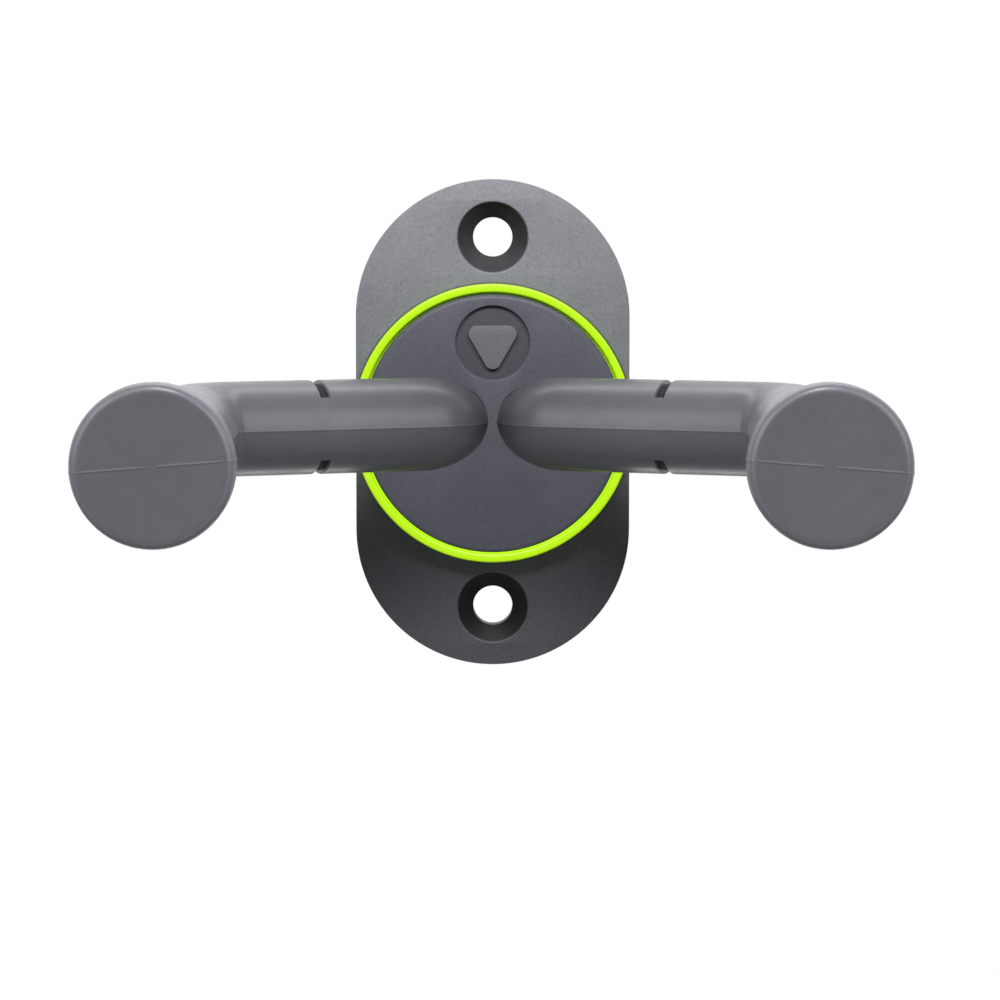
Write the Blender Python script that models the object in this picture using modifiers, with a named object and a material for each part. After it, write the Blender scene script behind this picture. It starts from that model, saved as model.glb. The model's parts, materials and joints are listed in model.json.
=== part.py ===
"""Wall guitar hanger: a wall plate whose hub carries two padded arms that swing down.

Units are metres. The wall is the XZ plane: the plate's back lies on it at y = 0, and
the arms reach out along -Y, with +Z up. Each piece is modelled lying on its back, in a
frame where X is to the right, Y is up the wall and Z is the distance from the wall.
The empty wall_frame stands that frame up, and an empty on each pivot carries an arm.
"""

import math

import bmesh
import bpy
from mathutils import Matrix, Vector

MM = 0.001

# Gaps: between faces that rest on each other, and round a piece that turns.
SEAT_GAP = 0.3 * MM
RUNNING_GAP = 0.3 * MM

# Wall plate.
PLATE_WIDTH = 45.0 * MM
PLATE_HEIGHT = 80.0 * MM
PLATE_THICKNESS = 6.4 * MM
PLATE_EDGE_ROUND = 0.5 * MM
WEB_REAR = 3.8 * MM
WEB_THICKNESS = 1.4 * MM

# Countersunk holes for the two wall screws.
WALL_SCREW_INSET = 9.5 * MM
WALL_SCREW_BORE = 6.5 * MM
WALL_SCREW_HEAD = 11.7 * MM
WALL_SCREW_LAND = 0.5 * MM

# Hub: a drum on the plate, the accent ring on the drum, and the cover inside the ring.
HUB_DIAMETER = 46.2 * MM
HUB_RISE = 0.15 * MM
HUB_UNDERCUT = 0.5 * MM
RING_MARGIN = 0.15 * MM
RING_BAND = 1.4 * MM
RING_HEIGHT = 1.5 * MM
RING_LIP = 1.2 * MM
RING_LIP_THICKNESS = 0.5 * MM
RING_ROUND = 0.35 * MM
COVER_PROUD = 0.5 * MM
COVER_ROUND = 0.7 * MM
RECESS_WALL = 3.0 * MM

# Badge in a round recess at the top of the cover.
BADGE_EDGE_LAND = 1.85 * MM
BADGE_BORE_LAND = 2.57 * MM
BADGE_RECESS_DEPTH = 0.8 * MM
BADGE_MARGIN = 1.8 * MM
BADGE_THICKNESS = 0.7 * MM
BADGE_STANDOFF = 0.05 * MM

# Cover screws, driven from behind.
COVER_SCREW_INSET = 2.0 * MM
COVER_SCREW_ANGLE = math.radians(60.0)
COVER_SCREW_SHANK = 2.4 * MM
COVER_SCREW_HEAD = 4.4 * MM
COVER_SCREW_HEAD_HEIGHT = 1.4 * MM
COVER_SCREW_GRIP = 2.2 * MM
COVER_SCREW_SINK = 0.5 * MM

# Pivots.
PIVOT_SPACING = 13.0 * MM
PIVOT_HEIGHT = 0.6 * MM
FLANGE_SPACING = 1.2 * MM
FRICTION_MARGIN = 0.3 * MM
SHOULDER_MARGIN = 0.3 * MM
SHOULDER_STEP = 1.6 * MM
BUSH_WALL = 0.7 * MM
BUSH_FLANGE_THICKNESS = 0.7 * MM
FRICTION_WASHER_THICKNESS = 0.5 * MM
SHOULDER_SINK = 0.1 * MM
PIVOT_SCREW_WALL = 1.7 * MM
PIVOT_SCREW_HEAD_MARGIN = 0.4 * MM
PIVOT_SCREW_HEAD_HEIGHT = 1.1 * MM
PIVOT_SCREW_SINK = 0.4 * MM
PIVOT_SCREW_REACH = 6.0 * MM
WAVE_WASHER_THICKNESS = 0.35 * MM
WAVE_HEIGHT = 0.15 * MM
WAVE_COUNT = 3

# Stop washer: keyed to the journal, its lug swings in a pocket behind the plate.
SWING = math.radians(60.0)
STOP_WASHER_SPACING = 2.6 * MM
STOP_WASHER_THICKNESS = 0.8 * MM
STOP_LUG_LENGTH = 3.4 * MM
STOP_LUG_HALF_ANGLE = math.radians(10.0)
JOURNAL_FLAT_DEPTH = 0.8 * MM

# Arm: its centre line runs out from the hub, sideways at a slant, then out again.
ARM_SPAN = 95.2 * MM
ARM_REACH = 111.4 * MM
ARM_SLANT = math.radians(22.0)
ROOT_STRAIGHT = 1.5 * MM
ROOT_BEND_RADIUS = 9.0 * MM
OUTER_BEND_RADIUS = 10.0 * MM
END_PAD_THICKNESS = 5.0 * MM

# Sleeve over the arm, flared at its end.
ROOT_SPACING = 2.0 * MM
SLEEVE_WALL = 1.2 * MM
SLEEVE_DIAMETER = 15.1 * MM
SLEEVE_TAPER_LENGTH = 11.0 * MM
END_DIAMETER = 23.5 * MM
END_BAND_LENGTH = 4.0 * MM
END_FLARE_LENGTH = 14.0 * MM
END_ROUND = 1.4 * MM

# Windows in the sleeve, with the core's locking ribs in them.
WINDOW_OFFSET = 29.9 * MM
WINDOW_WIDTH = 1.5 * MM
WINDOW_HALF_ANGLE = math.radians(47.5)
RIB_BELOW_SURFACE = 0.6 * MM
RIB_SINK = 1.2 * MM

# Fineness of round shapes.
ARC_SEGMENTS = 28
SMALL_SEGMENTS = 16
BEND_SEGMENTS = 8
SLEEVE_SIDES = 24
CORE_SIDES = 12
WELD = 0.001 * MM
CUT_MARGIN = 1.0 * MM

# Places that follow from the sizes above.
RECESS_FLOOR = WEB_REAR + WEB_THICKNESS
HUB_FRONT = PLATE_THICKNESS + HUB_RISE
RING_REAR = HUB_FRONT + SEAT_GAP
RING_FRONT = RING_REAR + RING_HEIGHT
RING_OUTER = HUB_DIAMETER / 2 - RING_MARGIN
RING_INNER = RING_OUTER - RING_BAND
COVER_RADIUS = RING_INNER - SEAT_GAP
COVER_FRONT = RING_FRONT + COVER_PROUD
RECESS_RADIUS = RING_INNER - RECESS_WALL
COVER_REAR = RECESS_FLOOR + SEAT_GAP
BUSH_FLANGE = PIVOT_SPACING - FLANGE_SPACING
FRICTION_WASHER = BUSH_FLANGE - 2 * FRICTION_MARGIN
SHOULDER_DIAMETER = FRICTION_WASHER - 2 * SHOULDER_MARGIN
JOURNAL_DIAMETER = SHOULDER_DIAMETER - 2 * SHOULDER_STEP
JOURNAL_FLAT = JOURNAL_DIAMETER / 2 - JOURNAL_FLAT_DEPTH
PIVOT_SCREW_SHANK = JOURNAL_DIAMETER - 2 * PIVOT_SCREW_WALL
PIVOT_SCREW_HEAD = JOURNAL_DIAMETER - 2 * PIVOT_SCREW_HEAD_MARGIN
STOP_WASHER = PIVOT_SPACING - STOP_WASHER_SPACING
STOP_LUG_REACH = STOP_WASHER / 2 + STOP_LUG_LENGTH
SLEEVE_ROOT = PIVOT_SPACING - ROOT_SPACING
CORE_DIAMETER = SLEEVE_ROOT - 2 * (SLEEVE_WALL + SEAT_GAP)
WALL_SCREW_HEIGHT = PLATE_HEIGHT / 2 - WALL_SCREW_INSET
BUSH_FLANGE_REAR = RECESS_FLOOR + SEAT_GAP
FRICTION_REAR = BUSH_FLANGE_REAR + BUSH_FLANGE_THICKNESS + SEAT_GAP
SHOULDER_REAR = FRICTION_REAR + FRICTION_WASHER_THICKNESS + SEAT_GAP
SHOULDER_FRONT = COVER_FRONT - SHOULDER_SINK
SLEEVE_START = COVER_FRONT + SEAT_GAP
COVER_COUNTERBORE = BUSH_FLANGE / 2 + SEAT_GAP
COVER_BORE = SHOULDER_DIAMETER / 2 + RUNNING_GAP
BORE_STEP = FRICTION_REAR + FRICTION_WASHER_THICKNESS + SEAT_GAP
SCREW_HEAD_FRONT = PIVOT_SCREW_SINK + PIVOT_SCREW_HEAD_HEIGHT
STOP_WASHER_REAR = SCREW_HEAD_FRONT + SEAT_GAP
STOP_WASHER_FRONT = STOP_WASHER_REAR + STOP_WASHER_THICKNESS
WAVE_MIDDLE = (STOP_WASHER_FRONT + WEB_REAR) / 2
BUSH_INNER = JOURNAL_DIAMETER / 2 + RUNNING_GAP
BUSH_OUTER = BUSH_INNER + BUSH_WALL
STOP_GAP_ANGLE = RUNNING_GAP / (STOP_WASHER / 2)
COVER_SCREW_TIP = COVER_REAR + COVER_SCREW_GRIP

# The badge's recess fills the room between the cover's edge and the two pivot bores.
BADGE_TOP = COVER_RADIUS - BADGE_EDGE_LAND
BADGE_CLEAR = COVER_BORE + BADGE_BORE_LAND
BADGE_RECESS = (
    (BADGE_TOP - PIVOT_HEIGHT) ** 2 + (PIVOT_SPACING / 2) ** 2 - BADGE_CLEAR**2
) / (BADGE_TOP - PIVOT_HEIGHT + BADGE_CLEAR)
BADGE_HEIGHT = BADGE_TOP - BADGE_RECESS / 2
BADGE_SIZE = BADGE_RECESS - 2 * BADGE_MARGIN

COLOURS = {
    "plate_grey": ((0.085, 0.087, 0.095), 0.55, 0.0),
    "cover_grey": ((0.070, 0.071, 0.078), 0.55, 0.0),
    "accent_green": ((0.35, 0.80, 0.0), 0.40, 0.0),
    "badge_grey": ((0.095, 0.097, 0.105), 0.45, 0.0),
    "sleeve_rubber": ((0.130, 0.135, 0.150), 0.60, 0.0),
    "core_black": ((0.020, 0.020, 0.022), 0.50, 0.0),
    "bush_nylon": ((0.030, 0.030, 0.032), 0.45, 0.0),
    "friction_fibre": ((0.110, 0.080, 0.050), 0.85, 0.0),
    "zinc_steel": ((0.560, 0.570, 0.580), 0.32, 1.0),
    "spring_steel": ((0.330, 0.330, 0.340), 0.30, 1.0),
}


# ---------------------------------------------------------------- scene helpers


def clear_scene():
    for obj in list(bpy.data.objects):
        bpy.data.objects.remove(obj, do_unlink=True)


def new_collection(name):
    collection = bpy.data.collections.new(name)
    bpy.context.scene.collection.children.link(collection)
    return collection


def material(name):
    """The named finish as a Principled material, made on first use."""
    found = bpy.data.materials.get(name)
    if found:
        return found
    colour, roughness, metallic = COLOURS[name]
    made = bpy.data.materials.new(name)
    made.use_nodes = True
    shader = made.node_tree.nodes["Principled BSDF"]
    shader.inputs["Base Color"].default_value = (*colour, 1.0)
    shader.inputs["Roughness"].default_value = roughness
    shader.inputs["Metallic"].default_value = metallic
    made.diffuse_color = (*colour, 1.0)
    return made


def add_empty(name, parent=None, location=(0, 0, 0), rotation=(0, 0, 0)):
    empty = bpy.data.objects.new(name, None)
    empty.parent = parent
    empty.location = location
    empty.rotation_euler = rotation
    empty.empty_display_size = 10 * MM
    PARTS.objects.link(empty)
    return empty


def add_part(name, mesh, finish, parent, location=(0, 0, 0)):
    """A visible piece, shaded smooth up to its sharp edges."""
    part = bpy.data.objects.new(name, mesh)
    part.parent = parent
    part.location = location
    mesh.materials.append(material(finish))
    mesh.shade_smooth()
    mesh.set_sharp_from_angle(angle=math.radians(35))
    PARTS.objects.link(part)
    return part


def add_cutter(mesh, parent, location=(0, 0, 0)):
    cutter = bpy.data.objects.new("cutter", mesh)
    cutter.parent = parent
    cutter.location = location
    cutter.hide_render = True
    cutter.display_type = "WIRE"
    CUTTERS.objects.link(cutter)
    return cutter


def combine(part, other, operation):
    boolean = part.modifiers.new(operation.lower(), "BOOLEAN")
    boolean.operation = operation
    boolean.object = other


def cut(part, mesh, parent, location=(0, 0, 0)):
    combine(part, add_cutter(mesh, parent, location), "DIFFERENCE")


def join(part, mesh, parent, location=(0, 0, 0)):
    combine(part, add_cutter(mesh, parent, location), "UNION")


# ---------------------------------------------------------------- shape helpers


def arc(radius, start, end, segments, centre=(0.0, 0.0)):
    """Points along an arc, both ends included. Angles are in radians."""
    steps = [start + (end - start) * i / segments for i in range(segments + 1)]
    return [
        (centre[0] + radius * math.cos(a), centre[1] + radius * math.sin(a)) for a in steps
    ]


def rounded_corner(radius, top, rounding, segments=3):
    """Outer front corner of a turned profile, from its front face down to its side."""
    centre = (radius - rounding, top - rounding)
    return arc(rounding, math.pi / 2, 0.0, segments, centre)


def turned(profile, segments=ARC_SEGMENTS, closed=False):
    """Mesh turned about Z from (radius, height) points that run down the outer side."""
    guide = bpy.data.meshes.new("profile")
    points = [(radius, 0.0, height) for radius, height in profile]
    edges = [(i, i + 1) for i in range(len(points) - 1)]
    if closed:
        edges.append((len(points) - 1, 0))
    guide.from_pydata(points, edges, [])
    holder = bpy.data.objects.new("profile", guide)
    screw = holder.modifiers.new("turn", "SCREW")
    screw.steps = segments
    screw.render_steps = segments
    screw.use_merge_vertices = True
    screw.merge_threshold = WELD
    return evaluated_mesh(holder)


def disc(radius, bottom, top, segments=ARC_SEGMENTS):
    """Plain round bar between two heights."""
    return turned([(0, top), (radius, top), (radius, bottom), (0, bottom)], segments)


def washer(inner, outer, bottom, top, segments=SMALL_SEGMENTS):
    profile = [(inner, top), (outer, top), (outer, bottom), (inner, bottom)]
    return turned(profile, segments, closed=True)


def evaluated_mesh(holder):
    """The mesh that an object makes, welded, with its faces turned outwards."""
    bpy.context.scene.collection.objects.link(holder)
    graph = bpy.context.evaluated_depsgraph_get()
    mesh = bpy.data.meshes.new_from_object(holder.evaluated_get(graph))
    bpy.data.objects.remove(holder, do_unlink=True)
    work = bmesh.new()
    work.from_mesh(mesh)
    bmesh.ops.remove_doubles(work, verts=work.verts, dist=WELD)
    bmesh.ops.recalc_face_normals(work, faces=work.faces)
    work.to_mesh(mesh)
    work.free()
    return mesh


def slab(outlines, bottom, top):
    """Flat solid between two heights. Outlines inside the first one are holes."""
    curve = bpy.data.curves.new("outline", "CURVE")
    curve.dimensions = "2D"
    curve.fill_mode = "BOTH"
    curve.extrude = (top - bottom) / 2
    for outline in outlines:
        spline = curve.splines.new("POLY")
        spline.points.add(len(outline) - 1)
        for point, (x, y) in zip(spline.points, outline, strict=True):
            point.co = (x, y, 0.0, 1.0)
        spline.use_cyclic_u = True
    mesh = evaluated_mesh(bpy.data.objects.new("outline", curve))
    mesh.transform(Matrix.Translation((0, 0, (top + bottom) / 2)))
    return mesh


def swept(stations, sides):
    """Round bar along (x, z, radius) stations in the XZ plane, with flat ends."""
    curve = bpy.data.curves.new("sweep", "CURVE")
    curve.dimensions = "3D"
    curve.bevel_depth = 1.0
    curve.bevel_resolution = (sides - 4) // 2
    curve.use_fill_caps = True
    spline = curve.splines.new("POLY")
    spline.points.add(len(stations) - 1)
    for point, (x, z, radius) in zip(spline.points, stations, strict=True):
        point.co = (x, 0.0, z, 1.0)
        point.radius = radius
    return evaluated_mesh(bpy.data.objects.new("sweep", curve))


# ---------------------------------------------------------------- wall plate and hub


def stadium(width, height, segments):
    """Outline with straight sides and round ends."""
    radius = width / 2
    centre = height / 2 - radius
    top = arc(radius, 0.0, math.pi, segments, (0.0, centre))
    bottom = arc(radius, math.pi, 2 * math.pi, segments, (0.0, -centre))
    return top + bottom


def wall_screw_hole():
    """Countersunk hole: a short land, a 90 degree cone and a plain bore."""
    head = WALL_SCREW_HEAD / 2
    bore = WALL_SCREW_BORE / 2
    land = PLATE_THICKNESS - WALL_SCREW_LAND
    front = PLATE_THICKNESS + CUT_MARGIN
    profile = [
        (0, front),
        (head, front),
        (head, land),
        (bore, land - (head - bore)),
        (bore, -CUT_MARGIN),
        (0, -CUT_MARGIN),
    ]
    return turned(profile)


def stop_pocket(side):
    """Pocket behind a pivot: round for the washer, wider over the arc its lug swings."""
    small = STOP_WASHER / 2 + RUNNING_GAP
    large = STOP_LUG_REACH + RUNNING_GAP
    upper = STOP_LUG_HALF_ANGLE + STOP_GAP_ANGLE
    lower = -SWING - upper
    outline = arc(large, upper, lower, 12) + arc(small, lower, upper - 2 * math.pi, 16)
    outline = [(side * x, y) for x, y in outline]
    return slab([outline], -CUT_MARGIN, WEB_REAR)


def cover_screw_places():
    circle = RECESS_RADIUS - COVER_SCREW_INSET
    x = circle * math.cos(COVER_SCREW_ANGLE)
    y = circle * math.sin(COVER_SCREW_ANGLE)
    return [(sx * x, sy * y) for sx in (-1, 1) for sy in (1, -1)]


def build_wall_plate(frame):
    blank = slab([stadium(PLATE_WIDTH, PLATE_HEIGHT, ARC_SEGMENTS)], 0, PLATE_THICKNESS)
    plate = add_part("wall_plate", blank, "plate_grey", frame)
    rounding = plate.modifiers.new("edge", "BEVEL")
    rounding.width = PLATE_EDGE_ROUND
    rounding.segments = 3
    rounding.limit_method = "ANGLE"
    rounding.angle_limit = math.radians(40)

    join(plate, disc(HUB_DIAMETER / 2, HUB_UNDERCUT, HUB_FRONT, 2 * ARC_SEGMENTS), frame)
    cut(plate, disc(RECESS_RADIUS, RECESS_FLOOR, HUB_FRONT + CUT_MARGIN), frame)
    for sign in (1, -1):
        cut(plate, wall_screw_hole(), frame, (0, sign * WALL_SCREW_HEIGHT, 0))
    for side in (-1, 1):
        pivot = (side * PIVOT_SPACING / 2, PIVOT_HEIGHT, 0)
        cut(plate, stop_pocket(side), frame, pivot)
        bore = disc(BUSH_OUTER + SEAT_GAP, 0, PLATE_THICKNESS, SMALL_SEGMENTS)
        cut(plate, bore, frame, pivot)
    head_room = COVER_SCREW_SINK + COVER_SCREW_HEAD_HEIGHT + SEAT_GAP
    for x, y in cover_screw_places():
        head = disc(COVER_SCREW_HEAD / 2 + SEAT_GAP, -CUT_MARGIN, head_room, SMALL_SEGMENTS)
        cut(plate, head, frame, (x, y, 0))
        shank = disc(COVER_SCREW_SHANK / 2 + SEAT_GAP, 0, PLATE_THICKNESS, SMALL_SEGMENTS)
        cut(plate, shank, frame, (x, y, 0))


def build_accent_ring(frame):
    """Bright band with rounded front edges and a lip that the cover holds down."""
    lip_front = RING_REAR + RING_LIP_THICKNESS
    outer_corner = rounded_corner(RING_OUTER, RING_FRONT, RING_ROUND, 3)
    inner_centre = (RING_INNER + RING_ROUND, RING_FRONT - RING_ROUND)
    inner_corner = arc(RING_ROUND, math.pi, math.pi / 2, 3, inner_centre)
    profile = inner_corner + outer_corner
    profile += [
        (RING_OUTER, RING_REAR),
        (RING_INNER - RING_LIP, RING_REAR),
        (RING_INNER - RING_LIP, lip_front),
        (RING_INNER, lip_front),
    ]
    add_part("accent_ring", turned(profile, 2 * ARC_SEGMENTS, closed=True), "accent_green", frame)


def build_hub_cover(frame):
    """Disc inside the ring, with a spigot in the plate and a stepped bore on each pivot."""
    lip_front = RING_REAR + RING_LIP_THICKNESS + SEAT_GAP
    body = RING_INNER - RING_LIP - SEAT_GAP
    spigot = RECESS_RADIUS - SEAT_GAP
    profile = [(0, COVER_FRONT)]
    profile += rounded_corner(COVER_RADIUS, COVER_FRONT, COVER_ROUND)
    profile += [
        (COVER_RADIUS, lip_front),
        (body, lip_front),
        (body, RING_REAR),
        (spigot, RING_REAR),
        (spigot, COVER_REAR),
        (0, COVER_REAR),
    ]
    cover = add_part("hub_cover", turned(profile, 2 * ARC_SEGMENTS), "cover_grey", frame)
    front = COVER_FRONT + CUT_MARGIN
    recess = disc(BADGE_RECESS / 2, COVER_FRONT - BADGE_RECESS_DEPTH, front)
    cut(cover, recess, frame, (0, BADGE_HEIGHT, 0))
    for side in (-1, 1):
        pivot = (side * PIVOT_SPACING / 2, PIVOT_HEIGHT, 0)
        bore = [
            (0, front),
            (COVER_BORE, front),
            (COVER_BORE, BORE_STEP),
            (COVER_COUNTERBORE, BORE_STEP),
            (COVER_COUNTERBORE, 0),
            (0, 0),
        ]
        cut(cover, turned(bore), frame, pivot)
    for x, y in cover_screw_places():
        pilot_top = COVER_SCREW_TIP + SEAT_GAP
        pilot = disc(COVER_SCREW_SHANK / 2 + SEAT_GAP, 0, pilot_top, SMALL_SEGMENTS)
        cut(cover, pilot, frame, (x, y, 0))


def plectrum(size):
    """Rounded triangle, point down, that fits a circle of this diameter."""
    corner = size * 0.16
    reach = size / 2 - corner
    outline = []
    for middle in (90.0, 210.0, 330.0):
        angle = math.radians(-middle)
        centre = (reach * math.cos(angle), reach * math.sin(angle))
        spread = math.radians(52)
        outline += arc(corner, angle + spread, angle - spread, 8, centre)
    return outline


def build_badge(frame):
    """Raised plectrum with softened edges, in the cover's round recess."""
    rear = COVER_FRONT - BADGE_RECESS_DEPTH + BADGE_STANDOFF
    mesh = slab([plectrum(BADGE_SIZE)], rear, rear + BADGE_THICKNESS)
    badge = add_part("cover_badge", mesh, "badge_grey", frame, (0, BADGE_HEIGHT, 0))
    rounding = badge.modifiers.new("edge", "BEVEL")
    rounding.width = BADGE_THICKNESS / 4
    rounding.segments = 2
    rounding.limit_method = "ANGLE"
    rounding.angle_limit = math.radians(50)


def screw_mesh(head_radius, head_height, shank_radius, rear, tip):
    """Low pan head at the rear, with a shank that ends in a blunt point."""
    chamfer = shank_radius * 0.4
    head_front = rear + head_height
    crown = head_height * 0.45
    profile = [
        (0, tip),
        (shank_radius - chamfer, tip),
        (shank_radius, tip - chamfer),
        (shank_radius, head_front),
        (head_radius, head_front),
        (head_radius, rear + crown),
        (head_radius - crown, rear),
        (0, rear),
    ]
    return turned(profile, SMALL_SEGMENTS)


def cut_drive(screw, radius, rear, depth, frame, location):
    """Hexagon socket in the rear of a screw's head."""
    cut(screw, disc(radius, rear - CUT_MARGIN, rear + depth, 6), frame, location)


def build_cover_screws(frame):
    shank = COVER_SCREW_SHANK / 2
    rear = COVER_SCREW_SINK
    for number, (x, y) in enumerate(cover_screw_places(), start=1):
        mesh = screw_mesh(
            COVER_SCREW_HEAD / 2, COVER_SCREW_HEAD_HEIGHT, shank, rear, COVER_SCREW_TIP
        )
        screw = add_part(f"cover_screw_{number}", mesh, "zinc_steel", frame, (x, y, 0))
        depth = COVER_SCREW_HEAD_HEIGHT / 2
        cut_drive(screw, shank * 0.9, rear, depth, frame, (x, y, 0))


# ---------------------------------------------------------------- pivot hardware


def build_bush(prefix, frame, pivot):
    """Flanged bush through the plate's web."""
    flange_front = BUSH_FLANGE_REAR + BUSH_FLANGE_THICKNESS
    profile = [
        (BUSH_INNER, flange_front),
        (BUSH_FLANGE / 2, flange_front),
        (BUSH_FLANGE / 2, BUSH_FLANGE_REAR),
        (BUSH_OUTER, BUSH_FLANGE_REAR),
        (BUSH_OUTER, WEB_REAR),
        (BUSH_INNER, WEB_REAR),
    ]
    mesh = turned(profile, SMALL_SEGMENTS, closed=True)
    add_part(f"{prefix}_pivot_bush", mesh, "bush_nylon", frame, pivot)


def build_friction_washer(prefix, frame, pivot):
    front = FRICTION_REAR + FRICTION_WASHER_THICKNESS
    mesh = washer(BUSH_INNER, FRICTION_WASHER / 2, FRICTION_REAR, front)
    add_part(f"{prefix}_friction_washer", mesh, "friction_fibre", frame, pivot)


def build_wave_washer(prefix, frame, pivot):
    """Spring washer: a flat strip that rides over waves round the journal."""
    inner = BUSH_INNER
    outer = STOP_WASHER / 2
    strip = bpy.data.curves.new("strip", "CURVE")
    strip.dimensions = "2D"
    section = strip.splines.new("POLY")
    section.points.add(3)
    half = ((outer - inner) / 2, WAVE_WASHER_THICKNESS / 2)
    for point, (sx, sy) in zip(section.points, ((-1, -1), (1, -1), (1, 1), (-1, 1)), strict=True):
        point.co = (sx * half[0], sy * half[1], 0.0, 1.0)
    section.use_cyclic_u = True
    strip_object = bpy.data.objects.new("strip", strip)

    path = bpy.data.curves.new("wave", "CURVE")
    path.dimensions = "3D"
    path.twist_mode = "Z_UP"
    path.bevel_mode = "OBJECT"
    path.bevel_object = strip_object
    ring = path.splines.new("POLY")
    ring.points.add(ARC_SEGMENTS - 1)
    middle = (inner + outer) / 2
    for i, point in enumerate(ring.points):
        angle = 2 * math.pi * i / ARC_SEGMENTS
        height = WAVE_MIDDLE + WAVE_HEIGHT * math.cos(WAVE_COUNT * angle)
        point.co = (middle * math.cos(angle), middle * math.sin(angle), height, 1.0)
    ring.use_cyclic_u = True
    mesh = evaluated_mesh(bpy.data.objects.new("wave", path))
    bpy.data.objects.remove(strip_object, do_unlink=True)
    add_part(f"{prefix}_wave_washer", mesh, "spring_steel", frame, pivot)


def flatted_hole(radius, flat, side):
    """Round outline with one flat across its outer side."""
    half = math.acos(flat / radius)
    outline = arc(radius, half, 2 * math.pi - half, 24)
    return [(side * x, y) for x, y in outline]


def build_stop_washer(prefix, side, pivot_empty):
    """Washer keyed to the journal's flat, with the lug that meets the pocket's ends."""
    lug = STOP_LUG_HALF_ANGLE
    outline = arc(STOP_LUG_REACH, lug, -lug, 4)
    outline += arc(STOP_WASHER / 2, -lug, lug - 2 * math.pi, 20)
    outline = [(side * x, y) for x, y in outline]
    hole = flatted_hole(BUSH_INNER, JOURNAL_FLAT + RUNNING_GAP, side)
    mesh = slab([outline, hole], STOP_WASHER_REAR, STOP_WASHER_FRONT)
    add_part(f"{prefix}_stop_washer", mesh, "zinc_steel", pivot_empty)


def build_pivot_screw(prefix, pivot_empty):
    shank = PIVOT_SCREW_SHANK / 2
    tip = SCREW_HEAD_FRONT + PIVOT_SCREW_REACH
    mesh = screw_mesh(
        PIVOT_SCREW_HEAD / 2, PIVOT_SCREW_HEAD_HEIGHT, shank, PIVOT_SCREW_SINK, tip
    )
    screw = add_part(f"{prefix}_pivot_screw", mesh, "zinc_steel", pivot_empty)
    depth = PIVOT_SCREW_HEAD_HEIGHT / 2
    cut_drive(screw, shank * 0.7, PIVOT_SCREW_SINK, depth, pivot_empty, (0, 0, 0))


# ---------------------------------------------------------------- arm


class ArmLine:
    """Centre line of an arm from its pivot: straight, bend, slant, bend, straight."""

    def __init__(self, start):
        across = ARM_SPAN / 2 - PIVOT_SPACING / 2
        turn = math.pi / 2 - ARM_SLANT
        first = (ROOT_BEND_RADIUS, SLEEVE_START + ROOT_STRAIGHT)
        bend = arc(ROOT_BEND_RADIUS, math.pi, math.pi - turn, BEND_SEGMENTS, first)
        leaves = bend[-1]
        joins_x = across - OUTER_BEND_RADIUS * (1 - math.sin(ARM_SLANT))
        joins_z = leaves[1] + (joins_x - leaves[0]) * math.tan(ARM_SLANT)
        second = (
            across - OUTER_BEND_RADIUS,
            joins_z + OUTER_BEND_RADIUS * math.cos(ARM_SLANT),
        )
        outer = arc(OUTER_BEND_RADIUS, ARM_SLANT - math.pi / 2, 0.0, BEND_SEGMENTS, second)
        self.points = [(0.0, start), *bend, *outer, (across, ARM_REACH)]

    def lengths(self):
        """Distance along the line to each of its points."""
        found = [0.0]
        for a, b in zip(self.points, self.points[1:]):
            found.append(found[-1] + math.dist(a, b))
        return found

    def at(self, distance):
        """Place and direction at a distance along the line."""
        lengths = self.lengths()
        for i in range(len(lengths) - 1):
            if distance <= lengths[i + 1] or i == len(lengths) - 2:
                a, b = Vector(self.points[i]), Vector(self.points[i + 1])
                along = (b - a).normalized()
                return a + along * (distance - lengths[i]), along

    def stations(self, distances):
        """The line's own points and these distances, in order along it."""
        lengths = self.lengths()
        last = max(distances)
        kept = [s for s in lengths if 0 < s < last]
        every = sorted({*kept, *distances})
        spaced = [s for i, s in enumerate(every) if i == 0 or s - every[i - 1] > 20 * WELD]
        return [(s, *self.at(s)[0]) for s in spaced]


def smooth(t):
    t = min(max(t, 0.0), 1.0)
    return t * t * (3 - 2 * t)


def sleeve_radius(distance, total):
    """Tapers up from the root, then flares to the rounded end."""
    root = SLEEVE_ROOT / 2
    main = SLEEVE_DIAMETER / 2
    end = END_DIAMETER / 2
    radius = root + (main - root) * smooth(distance / SLEEVE_TAPER_LENGTH)
    band_start = total - END_BAND_LENGTH
    radius += (end - main) * smooth((distance - band_start) / END_FLARE_LENGTH + 1)
    past = distance - (total - END_ROUND)
    if past > 0:
        radius -= END_ROUND - math.sqrt(max(END_ROUND**2 - past**2, 0.0))
    return radius


def sleeve_stations(line, side):
    total = line.lengths()[-1]
    taper = [SLEEVE_TAPER_LENGTH * i / 4 for i in range(5)]
    flare_start = total - END_BAND_LENGTH - END_FLARE_LENGTH
    flare = [flare_start + END_FLARE_LENGTH * i / 5 for i in range(6)]
    rim = [total - END_ROUND * (1 - math.sin(math.radians(a))) for a in range(0, 91, 18)]
    found = line.stations([0.0, *taper, *flare, *rim])
    return [(side * x, z, sleeve_radius(s, total)) for s, x, z in found]


def window_shape(side, line, inner, outer, half_angle, width, up):
    """Part of a thick ring round the sleeve, at the windows' place along the arm."""
    middle = up * math.pi / 2
    outline = arc(outer, middle - half_angle, middle + half_angle, 12)
    outline += arc(inner, middle + half_angle, middle - half_angle, 6)
    mesh = slab([outline], -width / 2, width / 2)
    place, along = line.at(WINDOW_OFFSET)
    axis = Vector((side * along.x, 0, along.y))
    up_axis = Vector((0, 1, 0))
    turn = Matrix((up_axis.cross(axis), up_axis, axis)).transposed().to_4x4()
    turn.translation = (side * place.x, 0, place.y)
    mesh.transform(turn)
    return mesh


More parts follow.
